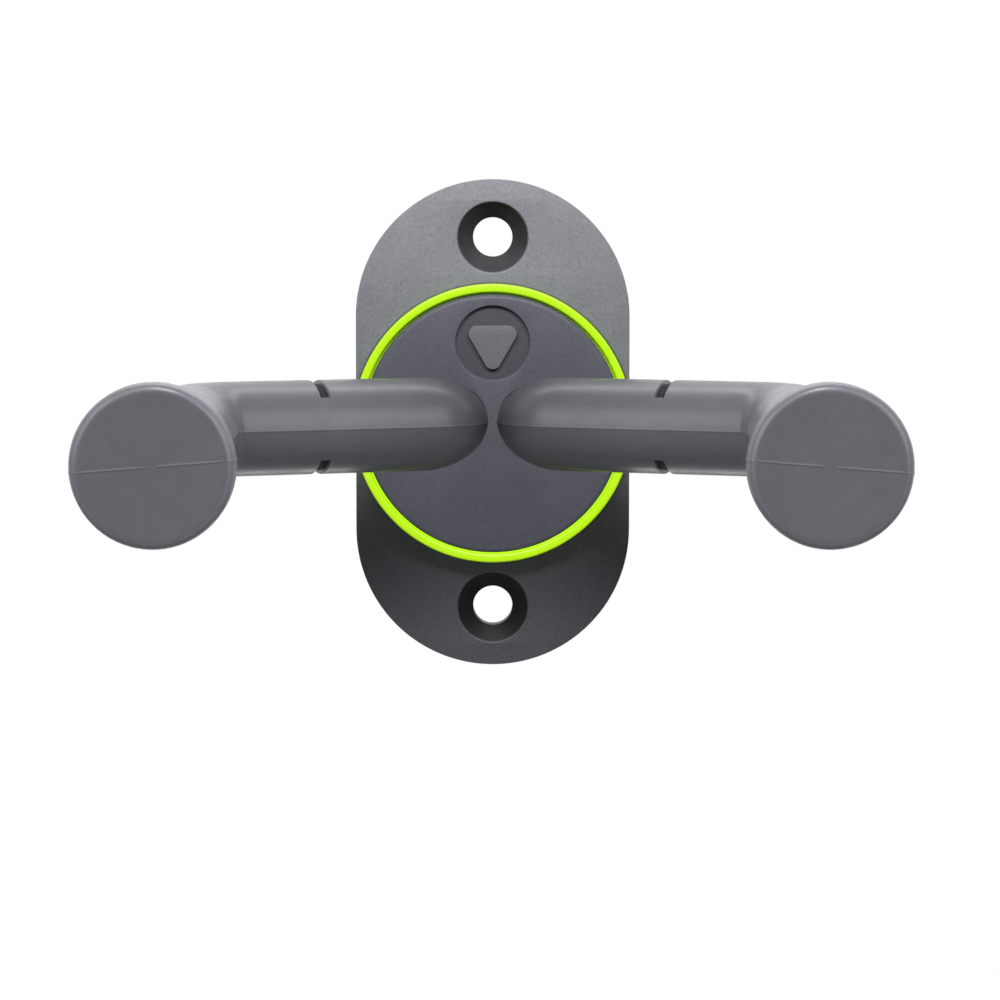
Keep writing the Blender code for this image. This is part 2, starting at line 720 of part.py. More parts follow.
def build_sleeve(prefix, side, pivot_empty):
    """Soft one-piece sleeve with its flared end, bored for the core."""
    line = ArmLine(SLEEVE_START)
    sleeve = add_part(
        f"{prefix}_arm_sleeve",
        swept(sleeve_stations(line, side), SLEEVE_SIDES),
        "sleeve_rubber",
        pivot_empty,
    )
    bore_radius = CORE_DIAMETER / 2 + SEAT_GAP
    cutter = ArmLine(SLEEVE_START - CUT_MARGIN)
    end = cutter.lengths()[-1] - END_PAD_THICKNESS
    stations = [(side * x, z, bore_radius) for _, x, z in cutter.stations([0.0, end])]
    cut(sleeve, swept(stations, CORE_SIDES), pivot_empty)
    for up in (1, -1):
        outer = SLEEVE_DIAMETER / 2 + CUT_MARGIN
        shape = window_shape(
            side, line, CORE_DIAMETER / 2, outer, WINDOW_HALF_ANGLE, WINDOW_WIDTH, up
        )
        cut(sleeve, shape, pivot_empty)


def build_core(prefix, side, pivot_empty):
    """Journal and shoulder at the pivot, then the rod, with a pair of locking ribs."""
    shoulder = SHOULDER_DIAMETER / 2
    journal = JOURNAL_DIAMETER / 2
    profile = [
        (0, SHOULDER_FRONT),
        (shoulder, SHOULDER_FRONT),
        (shoulder, SHOULDER_REAR),
        (journal, SHOULDER_REAR),
        (journal, STOP_WASHER_REAR),
        (0, STOP_WASHER_REAR),
    ]
    core = add_part(f"{prefix}_arm_core", turned(profile), "core_black", pivot_empty)

    rod = ArmLine(SHOULDER_FRONT - CUT_MARGIN / 2)
    end = rod.lengths()[-1] - END_PAD_THICKNESS - SEAT_GAP
    radius = CORE_DIAMETER / 2
    stations = [(side * x, z, radius) for _, x, z in rod.stations([0.0, end])]
    join(core, swept(stations, CORE_SIDES), pivot_empty)

    rib_outer = SLEEVE_DIAMETER / 2 - RIB_BELOW_SURFACE
    half_angle = WINDOW_HALF_ANGLE - SEAT_GAP / rib_outer
    width = WINDOW_WIDTH - 2 * SEAT_GAP
    line = ArmLine(SLEEVE_START)
    for up in (1, -1):
        rib = window_shape(side, line, radius - RIB_SINK, rib_outer, half_angle, width, up)
        join(core, rib, pivot_empty)

    flat = disc(journal, STOP_WASHER_REAR - CUT_MARGIN, STOP_WASHER_FRONT, 4)
    flat.transform(Matrix.Rotation(math.pi / 4, 4, "Z"))
    half_side = journal / math.sqrt(2)
    cut(core, flat, pivot_empty, (side * (JOURNAL_FLAT + half_side), 0, 0))
    tapped = SCREW_HEAD_FRONT + PIVOT_SCREW_REACH + SEAT_GAP
    thread = disc(PIVOT_SCREW_SHANK / 2 + SEAT_GAP, 0, tapped, SMALL_SEGMENTS)
    cut(core, thread, pivot_empty)


def build_arm(prefix, side, frame):
    pivot = (side * PIVOT_SPACING / 2, PIVOT_HEIGHT, 0)
    pivot_empty = add_empty(f"{prefix}_pivot", frame, pivot)
    build_bush(prefix, frame, pivot)
    build_friction_washer(prefix, frame, pivot)
    build_wave_washer(prefix, frame, pivot)
    build_stop_washer(prefix, side, pivot_empty)
    build_pivot_screw(prefix, pivot_empty)
    build_core(prefix, side, pivot_empty)
    build_sleeve(prefix, side, pivot_empty)


clear_scene()
PARTS = new_collection("wall_guitar_hanger")
CUTTERS = new_collection("cutters")
wall_frame = add_empty("wall_frame", rotation=(math.pi / 2, 0, 0))
build_wall_plate(wall_frame)
build_accent_ring(wall_frame)
build_hub_cover(wall_frame)
build_badge(wall_frame)
build_cover_screws(wall_frame)
for prefix, side in (("left", -1), ("right", 1)):
    build_arm(prefix, side, wall_frame)
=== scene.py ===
"""Looks of the wall guitar hanger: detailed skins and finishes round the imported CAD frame.

Everything is in metres, in the CAD frame: the wall is the XZ plane, the arms reach out
along -Y and +Z is up. Turned and flat shapes are made lying on their backs, with Z as
the distance from the wall, and then stood up against it.
"""

import json
import math

import bmesh
import bpy
from mathutils import Matrix, Vector


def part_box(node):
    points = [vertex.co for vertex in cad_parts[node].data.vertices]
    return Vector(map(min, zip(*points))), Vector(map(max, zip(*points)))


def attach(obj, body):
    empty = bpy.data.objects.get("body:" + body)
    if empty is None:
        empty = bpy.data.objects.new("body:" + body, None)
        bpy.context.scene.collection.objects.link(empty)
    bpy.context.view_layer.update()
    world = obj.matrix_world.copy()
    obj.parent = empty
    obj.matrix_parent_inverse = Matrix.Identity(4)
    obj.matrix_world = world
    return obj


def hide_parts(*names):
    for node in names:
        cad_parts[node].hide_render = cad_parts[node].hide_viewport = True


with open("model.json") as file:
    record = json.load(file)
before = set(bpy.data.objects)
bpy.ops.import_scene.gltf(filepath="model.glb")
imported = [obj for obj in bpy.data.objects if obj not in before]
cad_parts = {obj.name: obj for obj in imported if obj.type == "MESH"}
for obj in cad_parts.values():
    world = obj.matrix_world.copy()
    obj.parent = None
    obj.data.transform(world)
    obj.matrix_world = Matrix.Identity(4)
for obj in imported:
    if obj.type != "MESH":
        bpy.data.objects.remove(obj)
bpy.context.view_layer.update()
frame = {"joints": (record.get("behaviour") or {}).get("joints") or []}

MM = 0.001
STAND = Matrix.Rotation(math.pi / 2, 4, "X")
BASE = "hanger_base"
SIDES = {"left": -1, "right": 1}


def depths(node):
    """How far the node's rear and front faces are from the wall."""
    low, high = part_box(node)
    return -high[1], -low[1]


def radius_of(box):
    low, high = box
    return (high[0] - low[0]) / 2


# Sizes shared with the CAD that its boxes don't give.
GAP = 0.3 * MM
PLATE_WIDTH = 45.0 * MM
PLATE_THICKNESS = 6.4 * MM
PLATE_ROUND = 0.5 * MM
WALL_SCREW_INSET = 9.5 * MM
WALL_SCREW_BORE = 6.5 * MM
WALL_SCREW_HEAD = 11.7 * MM
WALL_SCREW_LAND = 0.5 * MM
WEB_REAR = 3.8 * MM
WEB_FRONT = 5.2 * MM
HUB_UNDERCUT = 0.5 * MM
RING_BAND = 1.4 * MM
RING_LIP = 1.2 * MM
RING_LIP_THICKNESS = 0.5 * MM
RECESS_WALL = 3.0 * MM
BADGE_RECESS = 12.2 * MM
BADGE_RECESS_DEPTH = 0.8 * MM
BADGE_HEIGHT = 13.3 * MM
BADGE_SIZE = 8.6 * MM
COVER_SCREW_INSET = 2.0 * MM
COVER_SCREW_ANGLE = math.radians(60.0)
ARM_SLANT = math.radians(22.0)
ROOT_STRAIGHT = 1.5 * MM
ROOT_BEND_RADIUS = 9.0 * MM
OUTER_BEND_RADIUS = 10.0 * MM
CORE_BORE = 4.3 * MM
END_PAD_THICKNESS = 5.0 * MM
SLEEVE_ROOT = 11.0 * MM
SLEEVE_DIAMETER = 15.1 * MM
SLEEVE_TAPER_LENGTH = 11.0 * MM
END_BAND_LENGTH = 4.0 * MM
END_FLARE_LENGTH = 14.0 * MM
END_ROUND = 1.4 * MM
WINDOW_OFFSET = 29.9 * MM
WINDOW_WIDTH = 1.5 * MM
WINDOW_HALF_ANGLE = math.radians(47.5)
SWING = math.radians(60.0)
STOP_WASHER_RADIUS = 5.2 * MM
STOP_LUG_REACH = 8.6 * MM
STOP_LUG_HALF_ANGLE = math.radians(10.0)
STOP_WASHER_BORE = 4.0 * MM
STOP_WASHER_FLAT = 3.2 * MM
BUSH_BORE = 4.0 * MM
BUSH_BARREL = 4.7 * MM
BUSH_FLANGE_REAR = 5.5 * MM
WAVE_HEIGHT = 0.15 * MM
WAVE_COUNT = 3
SHOULDER_RADIUS = 5.3 * MM
SHOULDER_REAR = 7.3 * MM
SHOULDER_FRONT = 8.75 * MM
JOURNAL_RADIUS = 3.7 * MM
JOURNAL_FLAT = 2.9 * MM
TAPPED_RADIUS = 2.3 * MM
TAPPED_DEPTH = 7.8 * MM
CORE_RADIUS = 4.0 * MM
RIB_OUTER = 6.95 * MM
RIB_INNER = 2.8 * MM
COVER_BORE = 5.6 * MM
COVER_COUNTERBORE = 6.2 * MM
PLATE_PIVOT_BORE = 5.0 * MM
COVER_SCREW_BORE = 1.5 * MM
COVER_SCREW_BORE_DEPTH = 8.0 * MM
COVER_SCREW_POCKET = 2.5 * MM
COVER_SCREW_POCKET_DEPTH = 2.2 * MM

# Screws: shank radius, thread pitch and depth, socket radius and height of the head.
COVER_SCREW = (1.2 * MM, 0.9 * MM, 0.25 * MM, 1.08 * MM, 1.4 * MM)
PIVOT_SCREW = (2.0 * MM, 0.7 * MM, 0.3 * MM, 1.4 * MM, 1.1 * MM)

# Distances in front of the wall over which the painted shades come in.
DRUM_PAINTED_SHADE_DEPTHS = (5.5 * MM, 6.0 * MM)
ROOT_PAINTED_SHADE_DEPTHS = (14 * MM, 32 * MM)

# Rounded edges that only the visual model has.
DRUM_EASE = 0.12 * MM
COVER_EASE = 0.7 * MM
RING_EASE = 0.35 * MM
BORE_EASE = 0.15 * MM
BADGE_EASE = 0.16 * MM
HEAD_EASE = 0.18 * MM
SHOULDER_EASE = 0.25 * MM
JOURNAL_CHAMFER = 0.3 * MM
JOURNAL_RELIEF = 0.15 * MM
TAPPED_MOUTH = 0.35 * MM
RIB_EASE = 0.1 * MM
BUSH_EASE = 0.15 * MM

# Segments round a turned shape, and steps along the rods.
VERY_FINE = 256
FINE = 192
MEDIUM = 96
COARSE = 56
WASHER_SIDES = 112
WAVE_SIDES = 168
ROD_STATIONS = 110

PIVOTS = {
    joint["child"].split("_")[0]: Vector((joint["pos_m"][0], joint["pos_m"][2], 0.0))
    for joint in frame["joints"]
}


# ---------------------------------------------------------------- camera and light


def make_camera():
    data = bpy.data.cameras.new("camera")
    data.sensor_width = 36.0
    data.lens = 151.91
    camera = bpy.data.objects.new("camera", data)
    camera.location = (0.0012, -0.7000, 0.0450)
    camera.rotation_euler = (math.radians(90 - 4.758), 0, 0)
    data.clip_start = 0.01
    data.clip_end = 50
    bpy.context.scene.collection.objects.link(camera)
    bpy.context.scene.camera = camera


def add_area(name, receivers, location, target, size, power, shadows=None):
    data = bpy.data.lights.new(name, "AREA")
    data.shape = "RECTANGLE"
    data.size, data.size_y = size
    data.energy = power
    light = bpy.data.objects.new(name, data)
    light.location = location
    aim = Vector(target) - Vector(location)
    light.rotation_euler = aim.to_track_quat("-Z", "Y").to_euler()
    light.visible_camera = False
    bpy.context.scene.collection.objects.link(light)
    light.light_linking.receiver_collection = receivers
    if shadows:
        light.light_linking.blocker_collection = shadows


def make_world():
    """White to the camera. For light: bright above and behind, dimmer at the sides."""
    world = bpy.data.worlds.new("studio")
    bpy.context.scene.world = world
    world.use_nodes = True
    nodes, links = world.node_tree.nodes, world.node_tree.links
    nodes.clear()
    out = nodes.new("ShaderNodeOutputWorld")
    place = nodes.new("ShaderNodeTexCoord")
    split = nodes.new("ShaderNodeSeparateXYZ")
    links.new(place.outputs["Generated"], split.inputs[0])

    def ramp(source, low, high, bottom, top):
        part = nodes.new("ShaderNodeMapRange")
        part.interpolation_type = "SMOOTHSTEP"
        part.inputs["From Min"].default_value = low
        part.inputs["From Max"].default_value = high
        part.inputs["To Min"].default_value = bottom
        part.inputs["To Max"].default_value = top
        links.new(split.outputs[source], part.inputs["Value"])
        return part.outputs[0]

    def add(a, b):
        total = nodes.new("ShaderNodeMath")
        links.new(a, total.inputs[0])
        links.new(b, total.inputs[1])
        return total.outputs[0]

    sky = ramp("Z", -0.10, 0.9, 0.03, 0.20)
    backdrop = ramp("Y", 0.0, 0.5, 0.0, 1.4)
    light = nodes.new("ShaderNodeBackground")
    links.new(add(sky, backdrop), light.inputs["Strength"])
    seen = nodes.new("ShaderNodeBackground")
    seen.inputs["Strength"].default_value = 1.0
    seen.inputs["Color"].default_value = (1, 1, 1, 1)
    path = nodes.new("ShaderNodeLightPath")
    mix = nodes.new("ShaderNodeMixShader")
    links.new(path.outputs["Is Camera Ray"], mix.inputs[0])
    links.new(light.outputs[0], mix.inputs[1])
    links.new(seen.outputs[0], mix.inputs[2])
    links.new(mix.outputs[0], out.inputs["Surface"])


def make_stage():
    """Plain pale floor, far enough below that the camera looks over it."""
    mesh = bpy.data.meshes.new("floor")
    work = bmesh.new()
    bmesh.ops.create_circle(work, cap_ends=True, segments=96, radius=5.2)
    work.to_mesh(mesh)
    work.free()
    floor = bpy.data.objects.new("floor", mesh)
    floor.location = (0, 0, -2.0)
    bpy.context.scene.collection.objects.link(floor)
    paint = bpy.data.materials.new("pale_floor")
    paint.use_nodes = True
    shader = paint.node_tree.nodes["Principled BSDF"]
    shader.inputs["Base Color"].default_value = (0.66, 0.66, 0.66, 1)
    shader.inputs["Roughness"].default_value = 0.9
    mesh.materials.append(paint)


def make_lights():
    """Plate and cover are lit from close above; ring and arms have softboxes in front."""
    names = ("plate", "cover", "ring", "arms")
    lit = {name: bpy.data.collections.new(f"{name}_light_receivers") for name in names}
    for piece in PIECES:
        lit[LIT_WITH.get(piece.name, "arms")].objects.link(piece)
    plate, cover, ring, arms = lit.values()
    middle = (0, -0.05, 0)
    add_area("plate_key", plate, (0, -0.090, 0.106), (0, 0, 0), (0.20, 0.03), 0.345)
    add_area("cover_key", cover, (0, -0.12, 0.10), (0, 0, 0), (0.16, 0.05), 0.26, cover)
    add_area("ring_key", ring, (0, -0.70, 0.50), middle, (0.60, 0.22), 9.6, ring)
    for side in SIDES.values():
        add_area("arm_side", arms, (side * 0.55, -0.61, 0.32), middle, (0.70, 0.62), 3.7)
    add_area("arm_front", arms, (0, -0.52, 0.65), middle, (0.16, 0.10), 3.4)
    add_area("arm_top", arms, (0, 0.09, 0.265), middle, (0.34, 0.06), 0.26)
    add_area("arm_under", arms, (0, 0.18, -0.23), middle, (0.34, 0.06), 0.21)


# ---------------------------------------------------------------- materials


def finish_nodes(name, colour, roughness, metallic=0.0, **sockets):
    """A Principled material, its node tree, and a coordinate output fixed to the piece."""
    made = bpy.data.materials.new(name)
    made.use_nodes = True
    tree = made.node_tree
    shader = tree.nodes["Principled BSDF"]
    shader.inputs["Base Color"].default_value = (*colour, 1)
    shader.inputs["Roughness"].default_value = roughness
    shader.inputs["Metallic"].default_value = metallic
    for socket, value in sockets.items():
        shader.inputs[socket.replace("_", " ")].default_value = value
    place = tree.nodes.new("ShaderNodeTexCoord")
    return made, tree, shader, place.outputs["Object"]


def noise(tree, place, scale, detail=3.0, roughness=0.6, stretch=None):
    if stretch:
        mapping = tree.nodes.new("ShaderNodeMapping")
        mapping.inputs["Scale"].default_value = stretch
        tree.links.new(place, mapping.inputs["Vector"])
        place = mapping.outputs[0]
    node = tree.nodes.new("ShaderNodeTexNoise")
    node.inputs["Scale"].default_value = scale
    node.inputs["Detail"].default_value = detail
    node.inputs["Roughness"].default_value = roughness
    tree.links.new(place, node.inputs["Vector"])
    return node.outputs["Fac"]


def cells(tree, place, scale, smoothness=0.3):
    node = tree.nodes.new("ShaderNodeTexVoronoi")
    node.feature = "SMOOTH_F1"
    node.inputs["Scale"].default_value = scale
    node.inputs["Smoothness"].default_value = smoothness
    tree.links.new(place, node.inputs["Vector"])
    return node.outputs["Distance"]


def ranged(tree, value, low, high, bottom, top):
    node = tree.nodes.new("ShaderNodeMapRange")
    node.inputs["From Min"].default_value = low
    node.inputs["From Max"].default_value = high
    node.inputs["To Min"].default_value = bottom
    node.inputs["To Max"].default_value = top
    tree.links.new(value, node.inputs["Value"])
    return node.outputs[0]


def math_node(tree, operation, a, b):
    node = tree.nodes.new("ShaderNodeMath")
    node.operation = operation
    for socket, value in zip(node.inputs, (a, b)):
        if isinstance(value, (int, float)):
            socket.default_value = value
        else:
            tree.links.new(value, socket)
    return node.outputs[0]


def shade(tree, shader, colour, *factors):
    """Base colour times each factor."""
    total = factors[0]
    for factor in factors[1:]:
        total = math_node(tree, "MULTIPLY", total, factor)
    scaled = tree.nodes.new("ShaderNodeVectorMath")
    scaled.operation = "SCALE"
    scaled.inputs[0].default_value = colour
    tree.links.new(total, scaled.inputs["Scale"])
    tree.links.new(scaled.outputs[0], shader.inputs["Base Color"])


def bump(tree, shader, height, distance, strength=1.0, under=None):
    node = tree.nodes.new("ShaderNodeBump")
    node.inputs["Distance"].default_value = distance
    node.inputs["Strength"].default_value = strength
    tree.links.new(height, node.inputs["Height"])
    if under is not None:
        tree.links.new(under, node.inputs["Normal"])
    tree.links.new(node.outputs[0], shader.inputs["Normal"])
    return node.outputs[0]


def split_place(tree, place):
    split = tree.nodes.new("ShaderNodeSeparateXYZ")
    tree.links.new(place, split.inputs[0])
    return split.outputs


def from_axis(tree, place, height):
    """Distance from an axis square to the wall, and from its mirror image below."""
    across, _, above = split_place(tree, place)
    up = math_node(tree, "SUBTRACT", math_node(tree, "ABSOLUTE", above, 0), height)
    squares = [math_node(tree, "MULTIPLY", value, value) for value in (across, up)]
    return math_node(tree, "SQRT", math_node(tree, "ADD", *squares), 0)


def from_wall(tree, place):
    """Distance in front of the wall."""
    return math_node(tree, "MULTIPLY", split_place(tree, place)["Y"], -1.0)


def painted_light_factor(tree, amount, *masks):
    """A painted light factor for the colour, going from one to the amount where all masks are
    one.
    """
    total = masks[0]
    for mask in masks[1:]:
        total = math_node(tree, "MULTIPLY", total, mask)
    return ranged(tree, total, 0, 1, 1, amount)


def screw_hole_painted_shade(tree, place):
    """Painted shade: the countersunk holes are much darker than the plate's face."""
    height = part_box("wall_plate")[1][2] - WALL_SCREW_INSET
    edge = WALL_SCREW_HEAD / 2
    inside = ranged(tree, from_axis(tree, place, height), edge - 0.2 * MM, edge + 0.02 * MM, 1, 0)
    in_front = ranged(tree, from_wall(tree, place), 0.1 * MM, 0.5 * MM, 0, 1)
    return painted_light_factor(tree, 0.14, inside, in_front)


def drum_edge_painted_shadow(tree, place):
    """A painted shadow: a dark line where the ring sits on the drum."""
    edge = radius_of(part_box("wall_plate"))
    away = from_axis(tree, place, 0.0)
    inner = ranged(tree, away, edge - 0.4 * MM, edge - 0.3 * MM, 0, 1)
    outer = ranged(tree, away, edge, edge + 0.1 * MM, 1, 0)
    in_front = ranged(tree, from_wall(tree, place), *DRUM_PAINTED_SHADE_DEPTHS, 0, 1)
    return painted_light_factor(tree, 0.3, inner, outer, in_front)


def badge_recess_painted_shade(tree, place):
    """Painted shade: the badge's recess is a shade darker than the cover's face."""
    away = from_axis(tree, place, BADGE_HEIGHT)
    edge = BADGE_RECESS / 2
    inside = ranged(tree, away, edge - 0.1 * MM, edge, 1, 0)
    _, front = depths("hub_cover")
    sunk = ranged(tree, from_wall(tree, place), front - 0.3 * MM, front - 0.1 * MM, 1, 0)
    return painted_light_factor(tree, 0.68, inside, sunk)


def eroded_plastic(name, colour, roughness, *painted_light_marks):
    """Moulded plastic with a fine spark-eroded grain, darker in its pits."""
    made, tree, shader, place = finish_nodes(name, colour, roughness)
    shader.inputs["Specular IOR Level"].default_value = 0.5
    broad = ranged(tree, noise(tree, place, 90, 4), 0.3, 0.7, 0.95, 1.05)
    grain = noise(tree, place, 2600, 4, 0.7)
    speckle = ranged(tree, grain, 0.35, 0.65, 0.86, 1.10)
    pits = ranged(tree, cells(tree, place, 900), 0.05, 0.28, 0.80, 1.0)
    # Any painted shade factors passed in darken the base colour here.
    shade(tree, shader, colour, broad, speckle, pits, *[tint(tree, place) for tint in painted_light_marks])
    rough = ranged(tree, noise(tree, place, 500, 3), 0.3, 0.7, roughness - 0.06, roughness + 0.08)
    tree.links.new(rough, shader.inputs["Roughness"])
    height = math_node(tree, "ADD", grain, math_node(tree, "MULTIPLY", pits, 0.6))
    bump(tree, shader, height, 0.035 * MM, 0.55)
    return made


def root_painted_shade(tree, place):
    """Painted shade: the sleeves are darker close to the hub and the wall."""
    return ranged(tree, from_wall(tree, place), *ROOT_PAINTED_SHADE_DEPTHS, 0.42, 1.0)


def rim_painted_highlight(tree, place):
    """Painted highlight: the rounded rims of the sleeves' ends are a little lighter."""
    reach = depths("left_arm_sleeve")[1]
    depth = from_wall(tree, place)
    rim = ranged(tree, depth, reach - END_ROUND, reach - 0.9 * MM, 0, 1)
    off_face = ranged(tree, depth, reach - 0.12 * MM, reach - 0.02 * MM, 1, 0)
    return painted_light_factor(tree, 1.35, rim, off_face)


def moulded_rubber(name, colour, roughness, *painted_light_marks):
    """Satin rubber with soft mottling and faint flow marks along the moulding."""
    made, tree, shader, place = finish_nodes(name, colour, roughness)
    shader.inputs["Sheen Weight"].default_value = 0.06
    shader.inputs["Sheen Roughness"].default_value = 0.4
    broad = ranged(tree, noise(tree, place, 60, 3), 0.3, 0.7, 0.96, 1.04)
    mottle = ranged(tree, noise(tree, place, 420, 4, 0.65), 0.3, 0.7, 0.955, 1.045)
    # Any painted shade and highlight factors passed in darken or lighten the base colour here.
    shade(tree, shader, colour, broad, mottle, *[tint(tree, place) for tint in painted_light_marks])
    rough = ranged(tree, noise(tree, place, 260, 5), 0.3, 0.7, roughness - 0.05, roughness + 0.07)
    tree.links.new(rough, shader.inputs["Roughness"])
    fine = noise(tree, place, 3200, 3, 0.6)
    bump(tree, shader, fine, 0.015 * MM, 0.4)
    return made


def bright_plastic(name, colour, roughness):
    """Plain glossy plastic that lets a little light in."""
    made, tree, shader, place = finish_nodes(name, colour, roughness)
    shader.inputs["Subsurface Weight"].default_value = 0.15
    shader.inputs["Subsurface Radius"].default_value = (0.6 * MM, 0.9 * MM, 0.1 * MM)
    shader.inputs["Subsurface Scale"].default_value = 1.0
    broad = ranged(tree, noise(tree, place, 120, 3), 0.3, 0.7, 0.97, 1.03)
    shade(tree, shader, colour, broad)
    rough = ranged(tree, noise(tree, place, 700, 4), 0.3, 0.7, roughness - 0.05, roughness + 0.08)
    tree.links.new(rough, shader.inputs["Roughness"])
    bump(tree, shader, noise(tree, place, 1800, 3), 0.01 * MM, 0.4)
    return made


def coated_steel(name, colour, roughness):
    """Black coating with an orange-peel surface and fine drawn lines."""
    made, tree, shader, place = finish_nodes(name, colour, roughness, Specular_IOR_Level=0.2)
    peel = noise(tree, place, 900, 3)
    lines = noise(tree, place, 400, 2, 0.5, stretch=(1, 1, 16))
    shade(tree, shader, colour, ranged(tree, lines, 0.3, 0.7, 0.6, 1.7))
    bump(tree, shader, math_node(tree, "ADD", peel, lines), 0.05 * MM, 0.6)
    return made


def plated_steel(name, colour, roughness):
    """Plated steel with turning marks, stains and slight wear."""
    made, tree, shader, place = finish_nodes(name, colour, roughness, 1.0)
    stains = ranged(tree, noise(tree, place, 350, 5, 0.7), 0.25, 0.75, 0.72, 1.08)
    marks = noise(tree, place, 2200, 2, 0.5)
    shade(tree, shader, colour, stains)
    rough = ranged(tree, noise(tree, place, 600, 4), 0.3, 0.7, roughness - 0.06, roughness + 0.16)
    tree.links.new(rough, shader.inputs["Roughness"])
    bump(tree, shader, marks, 0.008 * MM, 0.5)
    return made


def pressed_fibre(name, colour, roughness):
    """Matt fibre board with fine strands."""
    made, tree, shader, place = finish_nodes(name, colour, roughness)
    strands = noise(tree, place, 1500, 5, 0.75, stretch=(1, 1, 3))
    shade(tree, shader, colour, ranged(tree, strands, 0.3, 0.7, 0.65, 1.3))
    bump(tree, shader, strands, 0.05 * MM, 0.7)
    return made


PIECES = []
LIT_WITH = {
    "plate_casting": "plate",
    "cover_disc": "cover",
    "badge_emblem": "cover",
    "ring_band": "ring",
}
# Painted shades for the plate; painted shade and painted highlight for the sleeves.
PLATE_PAINTED_SHADES = (screw_hole_painted_shade, drum_edge_painted_shadow)
SLEEVE_PAINTED_LIGHT = (root_painted_shade, rim_painted_highlight)
FINISH = {
    "plate_grey": eroded_plastic("plate_grey", (0.162, 0.167, 0.184), 0.50, *PLATE_PAINTED_SHADES),
    "cover_grey": eroded_plastic("cover_grey", (0.102, 0.104, 0.128), 0.50, badge_recess_painted_shade),
    "badge_grey": eroded_plastic("badge_grey", (0.165, 0.167, 0.188), 0.48),
    "sleeve_rubber": moulded_rubber("sleeve_rubber", (0.120, 0.124, 0.141), 0.33, *SLEEVE_PAINTED_LIGHT),
    "accent_green": bright_plastic("accent_green", (0.50, 0.88, 0.004), 0.34),
    "core_black": coated_steel("core_black", (0.020, 0.020, 0.018), 0.75),
    "bush_nylon": moulded_rubber("bush_nylon", (0.03, 0.03, 0.032), 0.45),
    "friction_fibre": pressed_fibre("friction_fibre", (0.11, 0.08, 0.05), 0.85),
    "zinc_steel": plated_steel("zinc_steel", (0.60, 0.61, 0.62), 0.30),
    "spring_steel": plated_steel("spring_steel", (0.34, 0.34, 0.36), 0.28),
}


# ---------------------------------------------------------------- mesh helpers


def add_piece(name, mesh, slot, body, replaces, sharp=32.0):
    """A shaded piece that rides on a body and stands for its CAD node."""
    piece = bpy.data.objects.new(name, mesh)
    bpy.context.scene.collection.objects.link(piece)
    mesh.materials.clear()
    mesh.materials.append(FINISH[slot])
    mesh.shade_smooth()
    mesh.set_sharp_from_angle(angle=math.radians(sharp))
    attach(piece, body)
    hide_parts(replaces)
    PIECES.append(piece)
    return piece


def arc(radius, start, end, segments, centre=(0.0, 0.0)):
    steps = [start + (end - start) * i / segments for i in range(segments + 1)]
    return [
        (centre[0] + radius * math.cos(a), centre[1] + radius * math.sin(a)) for a in steps
    ]


def applied(holder):
    """The mesh that an object makes, welded, with its faces turned outwards."""
    scene = bpy.context.scene.collection
    if holder.name not in scene.objects:
        scene.objects.link(holder)
    graph = bpy.context.evaluated_depsgraph_get()
    mesh = bpy.data.meshes.new_from_object(holder.evaluated_get(graph))
    bpy.data.objects.remove(holder, do_unlink=True)
    work = bmesh.new()
    work.from_mesh(mesh)
    bmesh.ops.remove_doubles(work, verts=work.verts, dist=0.5e-6)
    bmesh.ops.recalc_face_normals(work, faces=work.faces)
    work.to_mesh(mesh)
    work.free()
    return mesh


def as_mesh(work, name):
    """The finished mesh of a bmesh, with its faces turned outwards."""
    bmesh.ops.recalc_face_normals(work, faces=work.faces)
    mesh = bpy.data.meshes.new(name)
    work.to_mesh(mesh)
    work.free()
    return mesh


def bridged(work, rings):
    """Faces between each ring of points and the next."""
    for near, far in zip(rings, rings[1:]):
        for i in range(len(near)):
            k = (i + 1) % len(near)
            work.faces.new((near[i], near[k], far[k], far[i]))


def capped(work, rings):
    """A closed solid through the rings."""
    bridged(work, rings)
    work.faces.new(rings[0])
    work.faces.new(list(reversed(rings[-1])))


def turned(profile, segments=128, closed=False):
    """Mesh turned about Z from (radius, height) points that run down the outer side."""
    guide = bpy.data.meshes.new("profile")
    edges = [(i, i + 1) for i in range(len(profile) - 1)]
    if closed:
        edges.append((len(profile) - 1, 0))
    guide.from_pydata([(radius, 0, height) for radius, height in profile], edges, [])
    holder = bpy.data.objects.new("profile", guide)
    screw = holder.modifiers.new("turn", "SCREW")
    screw.steps = segments
    screw.render_steps = segments
    screw.use_merge_vertices = True
    screw.merge_threshold = 1e-6
    return applied(holder)


def slab(outlines, bottom, top):
    curve = bpy.data.curves.new("outline", "CURVE")
    curve.dimensions = "2D"
    curve.fill_mode = "BOTH"
    curve.extrude = (top - bottom) / 2
    for outline in outlines:
        spline = curve.splines.new("POLY")
        spline.points.add(len(outline) - 1)
        for point, (x, y) in zip(spline.points, outline):
            point.co = (x, y, 0, 1)
        spline.use_cyclic_u = True
    mesh = applied(bpy.data.objects.new("outline", curve))
    mesh.transform(Matrix.Translation((0, 0, (top + bottom) / 2)))
    return mesh


def moved(mesh, x=0.0, y=0.0, z=0.0):
    mesh.transform(Matrix.Translation((x, y, z)))
    return mesh


def combined(mesh, operation, others):
    """The mesh with each other mesh joined to it or cut from it."""
    holder = bpy.data.objects.new("work", mesh)
    bpy.context.scene.collection.objects.link(holder)
    tools = []
    for other in others:
        tool = bpy.data.objects.new("tool", other)
        bpy.context.scene.collection.objects.link(tool)
        boolean = holder.modifiers.new("tool", "BOOLEAN")
        boolean.operation = operation
        boolean.object = tool
        tools.append(tool)
    result = applied(holder)
    for tool in tools:
        bpy.data.objects.remove(tool, do_unlink=True)
    return result


